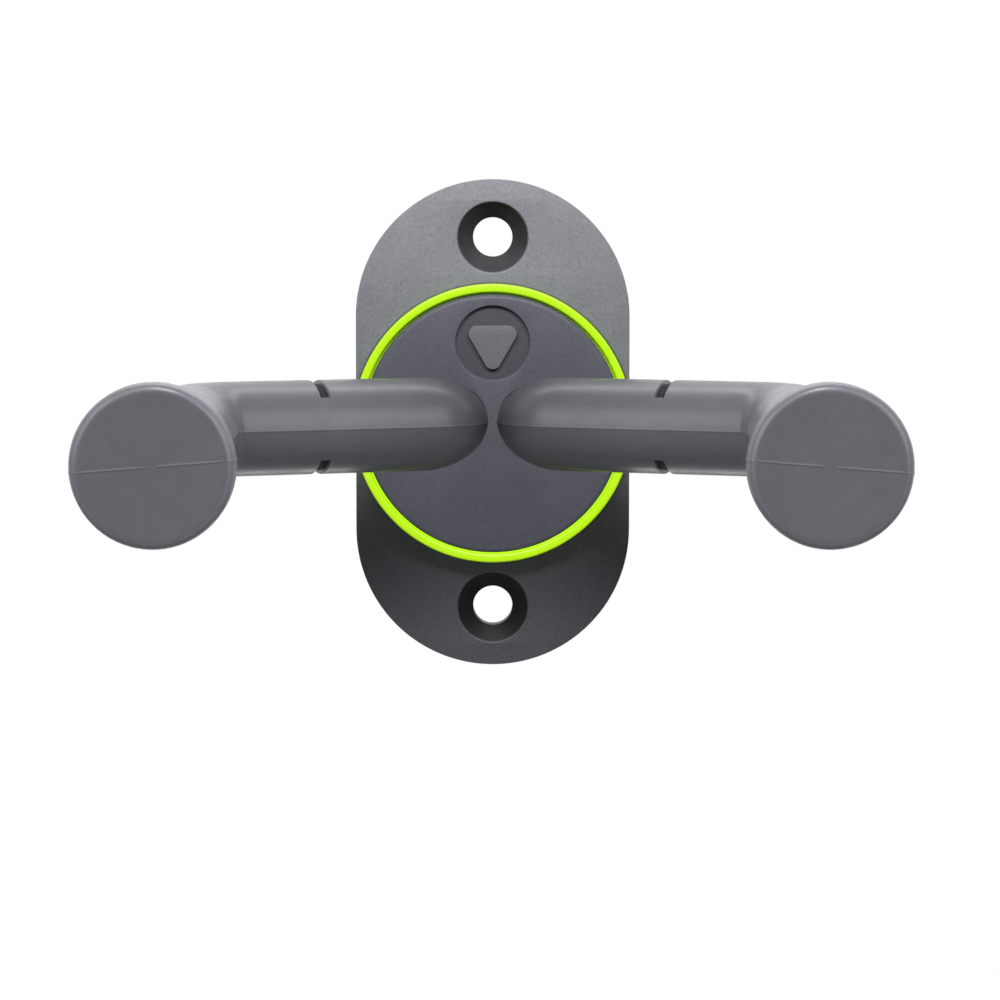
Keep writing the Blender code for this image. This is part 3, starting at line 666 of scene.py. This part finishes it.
def rounded_edges(mesh, width, segments, angle):
    holder = bpy.data.objects.new("work", mesh)
    bevel = holder.modifiers.new("edge", "BEVEL")
    bevel.width = width
    bevel.segments = segments
    bevel.limit_method = "ANGLE"
    bevel.angle_limit = math.radians(angle)
    return applied(holder)


def bar(radius, bottom, top, segments=64):
    return turned([(0, top), (radius, top), (radius, bottom), (0, bottom)], segments)


def stood(mesh):
    mesh.transform(STAND)
    return mesh


def eased_bore(radius, face, ease, below):
    """Profile of a hole's cutter whose mouth is rounded over into the face."""
    mouth = arc(ease, math.pi / 2, math.pi, 5, (radius + ease, face - ease))
    return [(0, face + MM), (radius + ease, face + MM), *mouth, *below]


# ---------------------------------------------------------------- plate and hub


def stadium(width, height, segments):
    radius = width / 2
    centre = height / 2 - radius
    top = arc(radius, 0.0, math.pi, segments, (0.0, centre))
    bottom = arc(radius, math.pi, 2 * math.pi, segments, (0.0, -centre))
    return top + bottom


def stop_pocket(side):
    small = STOP_WASHER_RADIUS + GAP
    large = STOP_LUG_REACH + GAP
    upper = STOP_LUG_HALF_ANGLE + GAP / STOP_WASHER_RADIUS
    lower = -SWING - upper
    outline = arc(large, upper, lower, 40) + arc(small, lower, upper - 2 * math.pi, 56)
    return slab([[(side * x, y) for x, y in outline]], -MM, WEB_REAR)


def recess_radius():
    """Radius of the recess in the drum that takes the cover's spigot."""
    return radius_of(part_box("accent_ring")) - RING_BAND - RECESS_WALL


def cover_screw_places():
    circle = recess_radius() - COVER_SCREW_INSET
    x, y = circle * math.cos(COVER_SCREW_ANGLE), circle * math.sin(COVER_SCREW_ANGLE)
    return [(sx * x, sy * y) for sx in (-1, 1) for sy in (1, -1)]


def make_plate():
    low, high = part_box("wall_plate")
    _, hub_front = depths("wall_plate")
    hub_radius = radius_of(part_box("wall_plate"))
    body = slab([stadium(PLATE_WIDTH, high[2] - low[2], 72)], 0, PLATE_THICKNESS)
    body = rounded_edges(body, PLATE_ROUND, 5, 40)
    ease = DRUM_EASE
    drum = [
        (0, hub_front),
        *arc(ease, math.pi / 2, 0, 3, (hub_radius - ease, hub_front - ease)),
        (hub_radius, HUB_UNDERCUT),
        (0, HUB_UNDERCUT),
    ]
    body = combined(body, "UNION", [turned(drum, FINE)])
    head, bore = WALL_SCREW_HEAD / 2, WALL_SCREW_BORE / 2
    land = PLATE_THICKNESS - WALL_SCREW_LAND
    below = [(head, land), (bore, land - (head - bore)), (bore, -MM), (0, -MM)]
    cutters = [bar(recess_radius(), WEB_FRONT, hub_front + MM, 128)]
    for sign in (1, -1):
        hole = turned(eased_bore(head, PLATE_THICKNESS, HEAD_EASE, below), MEDIUM)
        cutters.append(moved(hole, y=sign * (high[2] - WALL_SCREW_INSET)))
    for prefix, side in SIDES.items():
        pivot = PIVOTS[prefix]
        cutters.append(moved(stop_pocket(side), pivot.x, pivot.y))
        cutters.append(moved(bar(PLATE_PIVOT_BORE, MM, PLATE_THICKNESS), pivot.x, pivot.y))
    for x, y in cover_screw_places():
        cutters.append(moved(bar(COVER_SCREW_POCKET, -MM, COVER_SCREW_POCKET_DEPTH, 40), x, y))
        cutters.append(moved(bar(COVER_SCREW_BORE, MM / 2, PLATE_THICKNESS, 32), x, y))
    body = combined(body, "DIFFERENCE", cutters)
    add_piece("plate_casting", stood(body), "plate_grey", BASE, "wall_plate")


def make_ring():
    rear, front = depths("accent_ring")
    outer = radius_of(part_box("accent_ring"))
    inner = outer - RING_BAND
    ease = RING_EASE
    lip = rear + RING_LIP_THICKNESS
    profile = arc(ease, math.pi, math.pi / 2, 6, (inner + ease, front - ease))
    profile += arc(ease, math.pi / 2, 0, 6, (outer - ease, front - ease))
    profile += [(outer, rear), (inner - RING_LIP, rear), (inner - RING_LIP, lip), (inner, lip)]
    mesh = stood(turned(profile, VERY_FINE, True))
    add_piece("ring_band", mesh, "accent_green", BASE, "accent_ring")


def make_cover():
    rear, front = depths("hub_cover")
    ring_rear, _ = depths("accent_ring")
    radius = radius_of(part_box("hub_cover"))
    body_radius = radius_of(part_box("accent_ring")) - RING_BAND - RING_LIP - GAP
    spigot = recess_radius() - GAP
    lip = ring_rear + RING_LIP_THICKNESS + GAP
    ease = COVER_EASE
    profile = [(0, front), *arc(ease, math.pi / 2, 0, 7, (radius - ease, front - ease))]
    profile += [
        (radius, lip),
        (body_radius, lip),
        (body_radius, ring_rear),
        (spigot, ring_rear),
        (spigot, rear),
        (0, rear),
    ]
    body = turned(profile, FINE)
    badge, floor = BADGE_RECESS / 2, front - BADGE_RECESS_DEPTH
    recess = eased_bore(badge, front, BADGE_EASE, [(badge, floor), (0, floor)])
    cutters = [moved(turned(recess, MEDIUM), y=BADGE_HEIGHT)]
    for prefix in SIDES:
        pivot = PIVOTS[prefix]
        wide = COVER_COUNTERBORE
        below = [(COVER_BORE, SHOULDER_REAR), (wide, SHOULDER_REAR), (wide, 0), (0, 0)]
        hole = turned(eased_bore(COVER_BORE, front, BORE_EASE, below), MEDIUM)
        cutters.append(moved(hole, pivot.x, pivot.y))
    for x, y in cover_screw_places():
        cutters.append(moved(bar(COVER_SCREW_BORE, 0, COVER_SCREW_BORE_DEPTH, 32), x, y))
    body = combined(body, "DIFFERENCE", cutters)
    add_piece("cover_disc", stood(body), "cover_grey", BASE, "hub_cover")


def plectrum(size):
    """Rounded triangle with one corner down."""
    corner = size * 0.16
    reach = size / 2 - corner
    outline = []
    for middle in (90.0, 210.0, 330.0):
        angle = math.radians(-middle)
        centre = (reach * math.cos(angle), reach * math.sin(angle))
        spread = math.radians(52)
        outline += arc(corner, angle + spread, angle - spread, 24, centre)
    return outline


def make_badge():
    rear, front = depths("cover_badge")
    mesh = slab([plectrum(BADGE_SIZE)], rear, front)
    mesh = rounded_edges(mesh, BADGE_EASE, 4, 50)
    moved(mesh, y=BADGE_HEIGHT)
    add_piece("badge_emblem", stood(mesh), "badge_grey", BASE, "cover_badge")


# ---------------------------------------------------------------- sleeves


class ArmLine:
    """Centre line of a sleeve by distance: straight, bend, slant, bend, straight."""

    def __init__(self, across, start, reach):
        turn = math.pi / 2 - ARM_SLANT
        bend_x = ROOT_BEND_RADIUS * (1 - math.sin(ARM_SLANT))
        bend_z = start + ROOT_STRAIGHT + ROOT_BEND_RADIUS * math.cos(ARM_SLANT)
        join_x = across - OUTER_BEND_RADIUS * (1 - math.sin(ARM_SLANT))
        slant = (join_x - bend_x) / math.cos(ARM_SLANT)
        join_z = bend_z + slant * math.sin(ARM_SLANT)
        out_z = join_z + OUTER_BEND_RADIUS * math.cos(ARM_SLANT)
        self.start, self.across, self.turn = start, across, turn
        self.bend, self.join, self.out_z = (bend_x, bend_z), (join_x, join_z), out_z
        ends = [ROOT_STRAIGHT, ROOT_BEND_RADIUS * turn, slant, OUTER_BEND_RADIUS * turn]
        ends.append(reach - out_z)
        self.ends = [sum(ends[: i + 1]) for i in range(5)]
        self.total = self.ends[-1]

    def at(self, s):
        """Place (x, z) and slope angle from the wall plane at a distance."""
        a, b, c, d, _ = self.ends
        if s <= a:
            return 0.0, self.start + s, math.pi / 2
        if s <= b:
            angle = (s - a) / ROOT_BEND_RADIUS
            x = ROOT_BEND_RADIUS * (1 - math.cos(angle))
            z = self.start + ROOT_STRAIGHT + ROOT_BEND_RADIUS * math.sin(angle)
            return x, z, math.pi / 2 - angle
        if s <= c:
            along = s - b
            x = self.bend[0] + along * math.cos(ARM_SLANT)
            return x, self.bend[1] + along * math.sin(ARM_SLANT), ARM_SLANT
        if s <= d:
            slope = ARM_SLANT + (s - c) / OUTER_BEND_RADIUS
            x = self.across - OUTER_BEND_RADIUS * (1 - math.sin(slope))
            z = self.out_z - OUTER_BEND_RADIUS * math.cos(slope)
            return x, z, slope
        return self.across, self.out_z + (s - d), math.pi / 2


def arm_line(prefix, start=None):
    """The arm's centre line from where its sleeve starts, or from another depth."""
    node = f"{prefix}_arm_sleeve"
    low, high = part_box(node)
    rear, reach = depths(node)
    outer_x = max(abs(low[0]), abs(high[0]))
    across = outer_x - (high[2] - low[2]) / 2 - abs(PIVOTS[prefix].x)
    return ArmLine(across, rear if start is None else start, reach)


def smooth(t):
    t = min(max(t, 0.0), 1.0)
    return t * t * (3 - 2 * t)


def sleeve_radius(s, total, end_radius):
    root = SLEEVE_ROOT / 2
    main = SLEEVE_DIAMETER / 2
    radius = root + (main - root) * smooth(s / SLEEVE_TAPER_LENGTH)
    band_start = total - END_BAND_LENGTH
    return radius + (end_radius - main) * smooth((s - band_start) / END_FLARE_LENGTH + 1)


PARTING_RIDGE = 0.07 * MM
PARTING_WIDTH = 0.16 * MM
CREASE = 0.022
CREASE_WIDTH = math.radians(30)
PARTING_TILT = math.radians(4.5)
WINDOW_EASE = 0.22 * MM


def section_angles():
    """Angles round the section: 0 and 180 degrees lie on the parting line."""
    found = set()
    for parting in (0.0, 180.0):
        for offset in (-4, -2.6, -1.7, -1.1, -0.6, -0.2, 0.2, 0.6, 1.1, 1.7, 2.6, 4):
            found.add(round((parting + offset) % 360, 3))
    half = math.degrees(WINDOW_HALF_ANGLE)
    for up in (90.0, 270.0):
        found |= {round(up - half, 3), round(up + half, 3)}
    for i in range(96):
        angle = i * 3.75
        if all(abs((angle - other + 180) % 360 - 180) > 1.6 for other in found):
            found.add(angle)
    return [math.radians(a) for a in sorted(found)]


def from_parting(angle):
    """How far an angle is from the nearer parting line, in radians."""
    away = abs((angle + math.pi) % (2 * math.pi) - math.pi)
    return min(away, math.pi - away)


def ridge(angle, radius):
    """Height of the fine ridge that the mould's joint leaves."""
    away = radius * abs(math.sin(angle)) / PARTING_WIDTH
    return PARTING_RIDGE * max(0.0, 1 - away * away)


def section_bulge(angle):
    """The two mould halves meet in a soft crease that carries the parting ridge."""
    away = from_parting(angle) / CREASE_WIDTH
    return CREASE * max(0.0, 1 - away) ** 2


def sleeve_stations(line):
    """Distances along the sleeve, closer where its shape changes quickly."""
    a, b, c, d, total = line.ends
    window = WINDOW_OFFSET
    half = WINDOW_WIDTH / 2
    found = {0.0, a, b, c, d, window - half, window + half}

    def spread(start, end, step):
        count = max(1, math.ceil((end - start) / step))
        return {start + (end - start) * i / count for i in range(count + 1)}

    flare = total - END_BAND_LENGTH - END_FLARE_LENGTH
    found |= spread(0, b, 0.5 * MM) | spread(b, window - half - 1.2 * MM, 1.0 * MM)
    found |= spread(window - half - 1.2 * MM, window - half, 0.4 * MM)
    found |= spread(window + half, window + half + 1.2 * MM, 0.4 * MM)
    found |= spread(window + half + 1.2 * MM, c, 1.2 * MM) | spread(c, d, 0.5 * MM)
    found |= spread(d, flare, 2.2 * MM) | spread(flare, total - END_BAND_LENGTH, 0.5 * MM)
    found |= spread(total - END_BAND_LENGTH, total - END_ROUND, 0.5 * MM)
    kept = []
    fixed = {window - half, window + half, total - END_ROUND}
    for s in sorted(found):
        if kept and s - kept[-1] < 0.25 * MM:
            if s not in fixed:
                continue
            kept.pop()
        kept.append(s)
    return kept


def make_sleeve(prefix, side):
    node = f"{prefix}_arm_sleeve"
    low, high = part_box(node)
    end_radius = (high[2] - low[2]) / 2
    pivot = PIVOTS[prefix]
    line = arm_line(prefix)
    angles = section_angles()
    count = len(angles)
    stations = sleeve_stations(line)
    work = bmesh.new()
    up = Vector((0, 1, 0))

    def ring(s, radius, twist=0.0, bulge=1.0, ridged=True):
        x, z, slope = line.at(s)
        centre = Vector((x, 0, z))
        across_axis = Vector((math.sin(slope), 0, -math.cos(slope)))
        made = []
        for angle in angles:
            r = radius * (1 + bulge * section_bulge(angle))
            r += ridge(angle, radius) if ridged else 0
            sideways = across_axis * (r * math.cos(angle + twist))
            made.append(work.verts.new(centre + sideways + up * (r * math.sin(angle + twist))))
        return made

    def twist_at(s):
        return -PARTING_TILT * smooth((s - (line.total - 16 * MM)) / (10 * MM))

    def bulge_at(s):
        return 1 - smooth((s - (line.total - 14 * MM)) / (10 * MM))

    outer = [
        ring(s, sleeve_radius(s, line.total, end_radius), twist_at(s), bulge_at(s))
        for s in stations
    ]
    rim = []
    for step in range(1, 11):
        turn = math.radians(9.0 * step)
        s = line.total - END_ROUND * (1 - math.sin(turn))
        rim.append(ring(s, end_radius - END_ROUND * (1 - math.cos(turn)), -PARTING_TILT, 0.0))
    outer += rim
    face = []
    flat = end_radius - END_ROUND
    x, z, _ = line.at(line.total)
    for share in (0.97, 0.9, 0.8, 0.65, 0.5, 0.35, 0.2, 0.1):
        made = []
        for angle in angles:
            r = flat * share
            tilted = angle - PARTING_TILT
            height = z + ridge(angle, r)
            made.append(work.verts.new((x + r * math.cos(tilted), r * math.sin(tilted), height)))
        face.append(made)
    outer += face
    middle = work.verts.new((x, 0, z + PARTING_RIDGE))

    inner_count = sum(1 for s in stations if s <= line.total - END_PAD_THICKNESS)
    inner = [ring(s, CORE_BORE, bulge=0.0, ridged=False) for s in stations[:inner_count]]

    def windowed(i, j):
        s = (stations[i] + stations[i + 1]) / 2
        if abs(s - WINDOW_OFFSET) > WINDOW_WIDTH / 2:
            return False
        angle = (angles[j] + (angles[(j + 1) % count] if j + 1 < count else 2 * math.pi)) / 2
        away = min(abs(angle - math.pi / 2), abs(angle - 3 * math.pi / 2))
        return away < WINDOW_HALF_ANGLE

    def quad(a, b, c, d):
        return work.faces.new((a, b, c, d))

    cut = set()
    for i in range(len(outer) - 1):
        for j in range(count):
            k = (j + 1) % count
            if i < len(stations) - 1 and windowed(i, j):
                cut.add((i, j))
                continue
            quad(outer[i][j], outer[i][k], outer[i + 1][k], outer[i + 1][j])
    for j in range(count):
        work.faces.new((outer[-1][j], outer[-1][(j + 1) % count], middle))
    for i in range(len(inner) - 1):
        for j in range(count):
            if (i, j) not in cut:
                k = (j + 1) % count
                quad(inner[i][j], inner[i + 1][j], inner[i + 1][k], inner[i][k])
    for j in range(count):
        k = (j + 1) % count
        quad(outer[0][j], inner[0][j], inner[0][k], outer[0][k])
    x, z, _ = line.at(stations[inner_count - 1])
    bore_end = work.verts.new((x, 0, z))
    for j in range(count):
        work.faces.new((inner[-1][(j + 1) % count], inner[-1][j], bore_end))
    lips = []
    for i, j in cut:
        k = (j + 1) % count
        borders = (
            ((i - 1, j), outer[i][j], outer[i][k], inner[i][j], inner[i][k]),
            ((i + 1, j), outer[i + 1][k], outer[i + 1][j], inner[i + 1][k], inner[i + 1][j]),
            ((i, (j - 1) % count), outer[i + 1][j], outer[i][j], inner[i + 1][j], inner[i][j]),
            ((i, k), outer[i][k], outer[i + 1][k], inner[i][k], inner[i + 1][k]),
        )
        for neighbour, a, b, c, d in borders:
            if neighbour not in cut:
                quad(a, b, d, c)
                lips.append((a, b))
    edges = [work.edges.get(pair) for pair in lips]
    edges += [work.edges.get((outer[0][j], outer[0][(j + 1) % count])) for j in range(count)]
    work.verts.index_update()
    bmesh.ops.recalc_face_normals(work, faces=work.faces)
    bmesh.ops.bevel(work, geom=edges, offset=WINDOW_EASE, segments=3, affect="EDGES", profile=0.5)
    if side < 0:
        bmesh.ops.scale(work, vec=(-1, 1, 1), verts=work.verts)
        bmesh.ops.reverse_faces(work, faces=work.faces)
    mesh = moved(as_mesh(work, f"{prefix}_sleeve"), pivot.x, pivot.y)
    add_piece(f"{prefix}_sleeve_skin", stood(mesh), "sleeve_rubber", f"{prefix}_arm", node, 40)


# ---------------------------------------------------------------- cores


def rod(line, length, radius, sides=48):
    """Round bar along the arm's centre line, with a chamfered far end."""
    work = bmesh.new()
    chamfer_start = length - radius * 0.12
    stations = [length * i / ROD_STATIONS for i in range(ROD_STATIONS)]
    rings = []
    for s in sorted([*stations, chamfer_start, length]):
        x, z, slope = line.at(s)
        across_axis = Vector((math.sin(slope), 0, -math.cos(slope)))
        r = radius - max(0.0, s - chamfer_start)
        ring = []
        for i in range(sides):
            angle = 2 * math.pi * i / sides
            step = across_axis * (r * math.cos(angle)) + Vector((0, r * math.sin(angle), 0))
            ring.append(work.verts.new(Vector((x, 0, z)) + step))
        rings.append(ring)
    capped(work, rings)
    return as_mesh(work, "rod")


def locking_rib(line, up):
    """The part of the core that fills one window of the sleeve."""
    half = WINDOW_HALF_ANGLE - GAP / RIB_OUTER
    middle = up * math.pi / 2
    outline = arc(RIB_OUTER, middle - half, middle + half, 32)
    outline += arc(RIB_INNER, middle + half, middle - half, 16)
    thickness = WINDOW_WIDTH - 2 * GAP
    mesh = rounded_edges(slab([outline], -thickness / 2, thickness / 2), RIB_EASE, 2, 50)
    x, z, slope = line.at(WINDOW_OFFSET)
    axis = Vector((math.cos(slope), 0, math.sin(slope)))
    upward = Vector((0, 1, 0))
    turn = Matrix((upward.cross(axis), upward, axis)).transposed().to_4x4()
    turn.translation = (x, 0, z)
    mesh.transform(turn)
    return mesh


def make_core(prefix, side):
    node = f"{prefix}_arm_core"
    rear, _ = depths(node)
    pivot = PIVOTS[prefix]
    ease = SHOULDER_EASE
    relief = JOURNAL_RADIUS - JOURNAL_RELIEF
    relief_end = SHOULDER_REAR - JOURNAL_CHAMFER
    profile = [
        (0, SHOULDER_FRONT),
        *arc(ease, math.pi / 2, 0, 4, (SHOULDER_RADIUS - ease, SHOULDER_FRONT - ease)),
        (SHOULDER_RADIUS, SHOULDER_REAR),
        (relief, SHOULDER_REAR),
        (relief, relief_end),
        (JOURNAL_RADIUS, relief_end - JOURNAL_RELIEF),
        (JOURNAL_RADIUS, rear + JOURNAL_CHAMFER),
        (JOURNAL_RADIUS - JOURNAL_CHAMFER, rear),
        (0, rear),
    ]
    body = turned(profile, MEDIUM)
    inside = arm_line(prefix, SHOULDER_FRONT - MM / 2)
    length = inside.total - END_PAD_THICKNESS - GAP
    line = arm_line(prefix)
    body = combined(body, "UNION", [rod(inside, length, CORE_RADIUS)])
    body = combined(body, "UNION", [locking_rib(line, 1), locking_rib(line, -1)])
    wide = 2 * JOURNAL_RADIUS
    flat = [(JOURNAL_FLAT, -wide), (wide, -wide), (wide, wide), (JOURNAL_FLAT, wide)]
    washer_front = depths(f"{prefix}_stop_washer")[1]
    mouth = TAPPED_MOUTH
    tapped = [
        (0, TAPPED_DEPTH),
        (TAPPED_RADIUS * 0.9, TAPPED_DEPTH),
        (TAPPED_RADIUS, TAPPED_DEPTH - mouth),
        (TAPPED_RADIUS, rear + mouth),
        (TAPPED_RADIUS + mouth + MM / 2, rear - MM / 2),
        (0, rear - MM / 2),
    ]
    cutters = [slab([flat], rear - MM, washer_front), turned(tapped, 72)]
    body = combined(body, "DIFFERENCE", cutters)
    if side < 0:
        body.transform(Matrix.Diagonal((-1, 1, 1, 1)))
        body.flip_normals()
    moved(body, pivot.x, pivot.y)
    add_piece(f"{prefix}_core_rod", stood(body), "core_black", f"{prefix}_arm", node)


# ---------------------------------------------------------------- fittings


def screw_rows(head, rear, tip, shank, pitch, groove, head_height):
    """Rows (height, radius, thread depth) from the tip to the crown of the head."""
    head_front = rear + head_height
    chamfer = shank * 0.4
    crown = head_height * 0.45
    edge = 0.1 * MM
    thread_end = tip - chamfer
    rows = [(tip, shank - chamfer, 0.0), (thread_end, shank, 0.0)]
    steps = max(1, round((thread_end - head_front) / (pitch / 8)))
    for i in range(1, steps):
        share = i / steps
        fade = smooth(min(share, 1 - share) * 10)
        rows.append((thread_end + (head_front - thread_end) * share, shank, groove * fade))
    rows += [(head_front, shank, 0.0), (head_front, head - edge, 0.0)]
    rows.append((head_front - edge, head, 0.0))
    crown_arc = arc(crown, 0, -math.pi / 2, 6, (head - crown, rear + crown))
    return rows + [(z, r, 0.0) for r, z in crown_arc]


def threaded_screw(node, sizes):
    """Pan-headed screw with a helical thread and a hexagon socket, at its node's place."""
    shank, pitch, groove, socket, head_height = sizes
    low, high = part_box(node)
    rear, tip = depths(node)
    rows = screw_rows(radius_of(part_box(node)), rear, tip, shank, pitch, groove, head_height)
    work = bmesh.new()
    rings = []
    for z, radius, depth in rows:
        ring = []
        for i in range(COARSE):
            angle = 2 * math.pi * i / COARSE
            wave = abs(2 * ((z / pitch - i / COARSE) % 1.0) - 1)
            r = radius - depth * wave
            ring.append(work.verts.new((r * math.cos(angle), r * math.sin(angle), z)))
        rings.append(ring)
    capped(work, rings)
    mesh = as_mesh(work, node)
    key = bar(socket, rear - MM, rear + head_height / 2, 6)
    wide = socket * 1.15
    cone = [(0, rear + socket * 0.15), (wide, rear - 0.01 * MM)]
    lead_in = [*cone, (wide, rear - MM), (0, rear - MM)]
    mesh = combined(mesh, "DIFFERENCE", [key, turned(lead_in, COARSE)])
    return moved(mesh, (low[0] + high[0]) / 2, (low[2] + high[2]) / 2)


def make_screws():
    for number in range(1, 5):
        node = f"cover_screw_{number}"
        mesh = stood(threaded_screw(node, COVER_SCREW))
        add_piece(f"{node}_threaded", mesh, "zinc_steel", BASE, node)
    for prefix in SIDES:
        node = f"{prefix}_pivot_screw"
        mesh = stood(threaded_screw(node, PIVOT_SCREW))
        add_piece(f"{node}_threaded", mesh, "zinc_steel", f"{prefix}_arm", node)


def washer_profile(inner, outer, rear, front, ease):
    """Section of a flat ring with all four edges eased."""
    return [
        *arc(ease, math.pi, math.pi / 2, 3, (inner + ease, front - ease)),
        *arc(ease, math.pi / 2, 0, 3, (outer - ease, front - ease)),
        *arc(ease, 0, -math.pi / 2, 3, (outer - ease, rear + ease)),
        *arc(ease, -math.pi / 2, -math.pi, 3, (inner + ease, rear + ease)),
    ]


def make_bush(prefix):
    node = f"{prefix}_pivot_bush"
    rear, front = depths(node)
    flange = radius_of(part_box(node))
    ease = BUSH_EASE
    profile = [
        (BUSH_BORE + ease, front),
        *arc(ease, math.pi / 2, 0, 3, (flange - ease, front - ease)),
        *arc(ease, 0, -math.pi / 2, 3, (flange - ease, BUSH_FLANGE_REAR + ease)),
        (BUSH_BARREL, BUSH_FLANGE_REAR),
        (BUSH_BARREL, rear + ease),
        (BUSH_BARREL - ease, rear),
        (BUSH_BORE + ease, rear),
        (BUSH_BORE, rear + ease),
        (BUSH_BORE, front - ease),
    ]
    mesh = moved(turned(profile, WASHER_SIDES, True), PIVOTS[prefix].x, PIVOTS[prefix].y)
    add_piece(f"{prefix}_bush_moulding", stood(mesh), "bush_nylon", BASE, node)


def make_friction_washer(prefix):
    node = f"{prefix}_friction_washer"
    rear, front = depths(node)
    profile = washer_profile(BUSH_BORE, radius_of(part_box(node)), rear, front, 0.06 * MM)
    mesh = moved(turned(profile, WASHER_SIDES, True), PIVOTS[prefix].x, PIVOTS[prefix].y)
    add_piece(f"{prefix}_friction_disc", stood(mesh), "friction_fibre", BASE, node)


def make_wave_washer(prefix):
    node = f"{prefix}_wave_washer"
    rear, front = depths(node)
    middle = (rear + front) / 2
    half = (front - rear) / 2 - WAVE_HEIGHT
    section = washer_profile(BUSH_BORE, radius_of(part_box(node)), -half, half, 0.07 * MM)
    work = bmesh.new()
    rings = []
    for i in range(WAVE_SIDES):
        angle = 2 * math.pi * i / WAVE_SIDES
        lift = middle + WAVE_HEIGHT * math.cos(WAVE_COUNT * angle)
        ring = [(r * math.cos(angle), r * math.sin(angle), z + lift) for r, z in section]
        rings.append([work.verts.new(place) for place in ring])
    bridged(work, rings + rings[:1])
    mesh = moved(as_mesh(work, node), PIVOTS[prefix].x, PIVOTS[prefix].y)
    add_piece(f"{prefix}_wave_spring", stood(mesh), "spring_steel", BASE, node)


def make_stop_washer(prefix, side):
    node = f"{prefix}_stop_washer"
    rear, front = depths(node)
    lug = STOP_LUG_HALF_ANGLE
    outline = arc(STOP_LUG_REACH, lug, -lug, 12)
    outline += arc(STOP_WASHER_RADIUS, -lug, lug - 2 * math.pi, 96)
    half = math.acos(STOP_WASHER_FLAT / STOP_WASHER_BORE)
    hole = arc(STOP_WASHER_BORE, half, 2 * math.pi - half, 72)
    outlines = [[(side * x, y) for x, y in points] for points in (outline, hole)]
    mesh = rounded_edges(slab(outlines, rear, front), 0.07 * MM, 2, 60)
    moved(mesh, PIVOTS[prefix].x, PIVOTS[prefix].y)
    add_piece(f"{prefix}_stop_plate", stood(mesh), "zinc_steel", f"{prefix}_arm", node)


bpy.context.scene.view_settings.view_transform = "Standard"
make_camera()
make_world()
make_stage()
make_plate()
make_ring()
make_cover()
make_badge()
make_screws()
for prefix, side in SIDES.items():
    make_bush(prefix)
    make_friction_washer(prefix)
    make_wave_washer(prefix)
    make_stop_washer(prefix, side)
    make_core(prefix, side)
    make_sleeve(prefix, side)
make_lights()

bpy.context.view_layer.update()
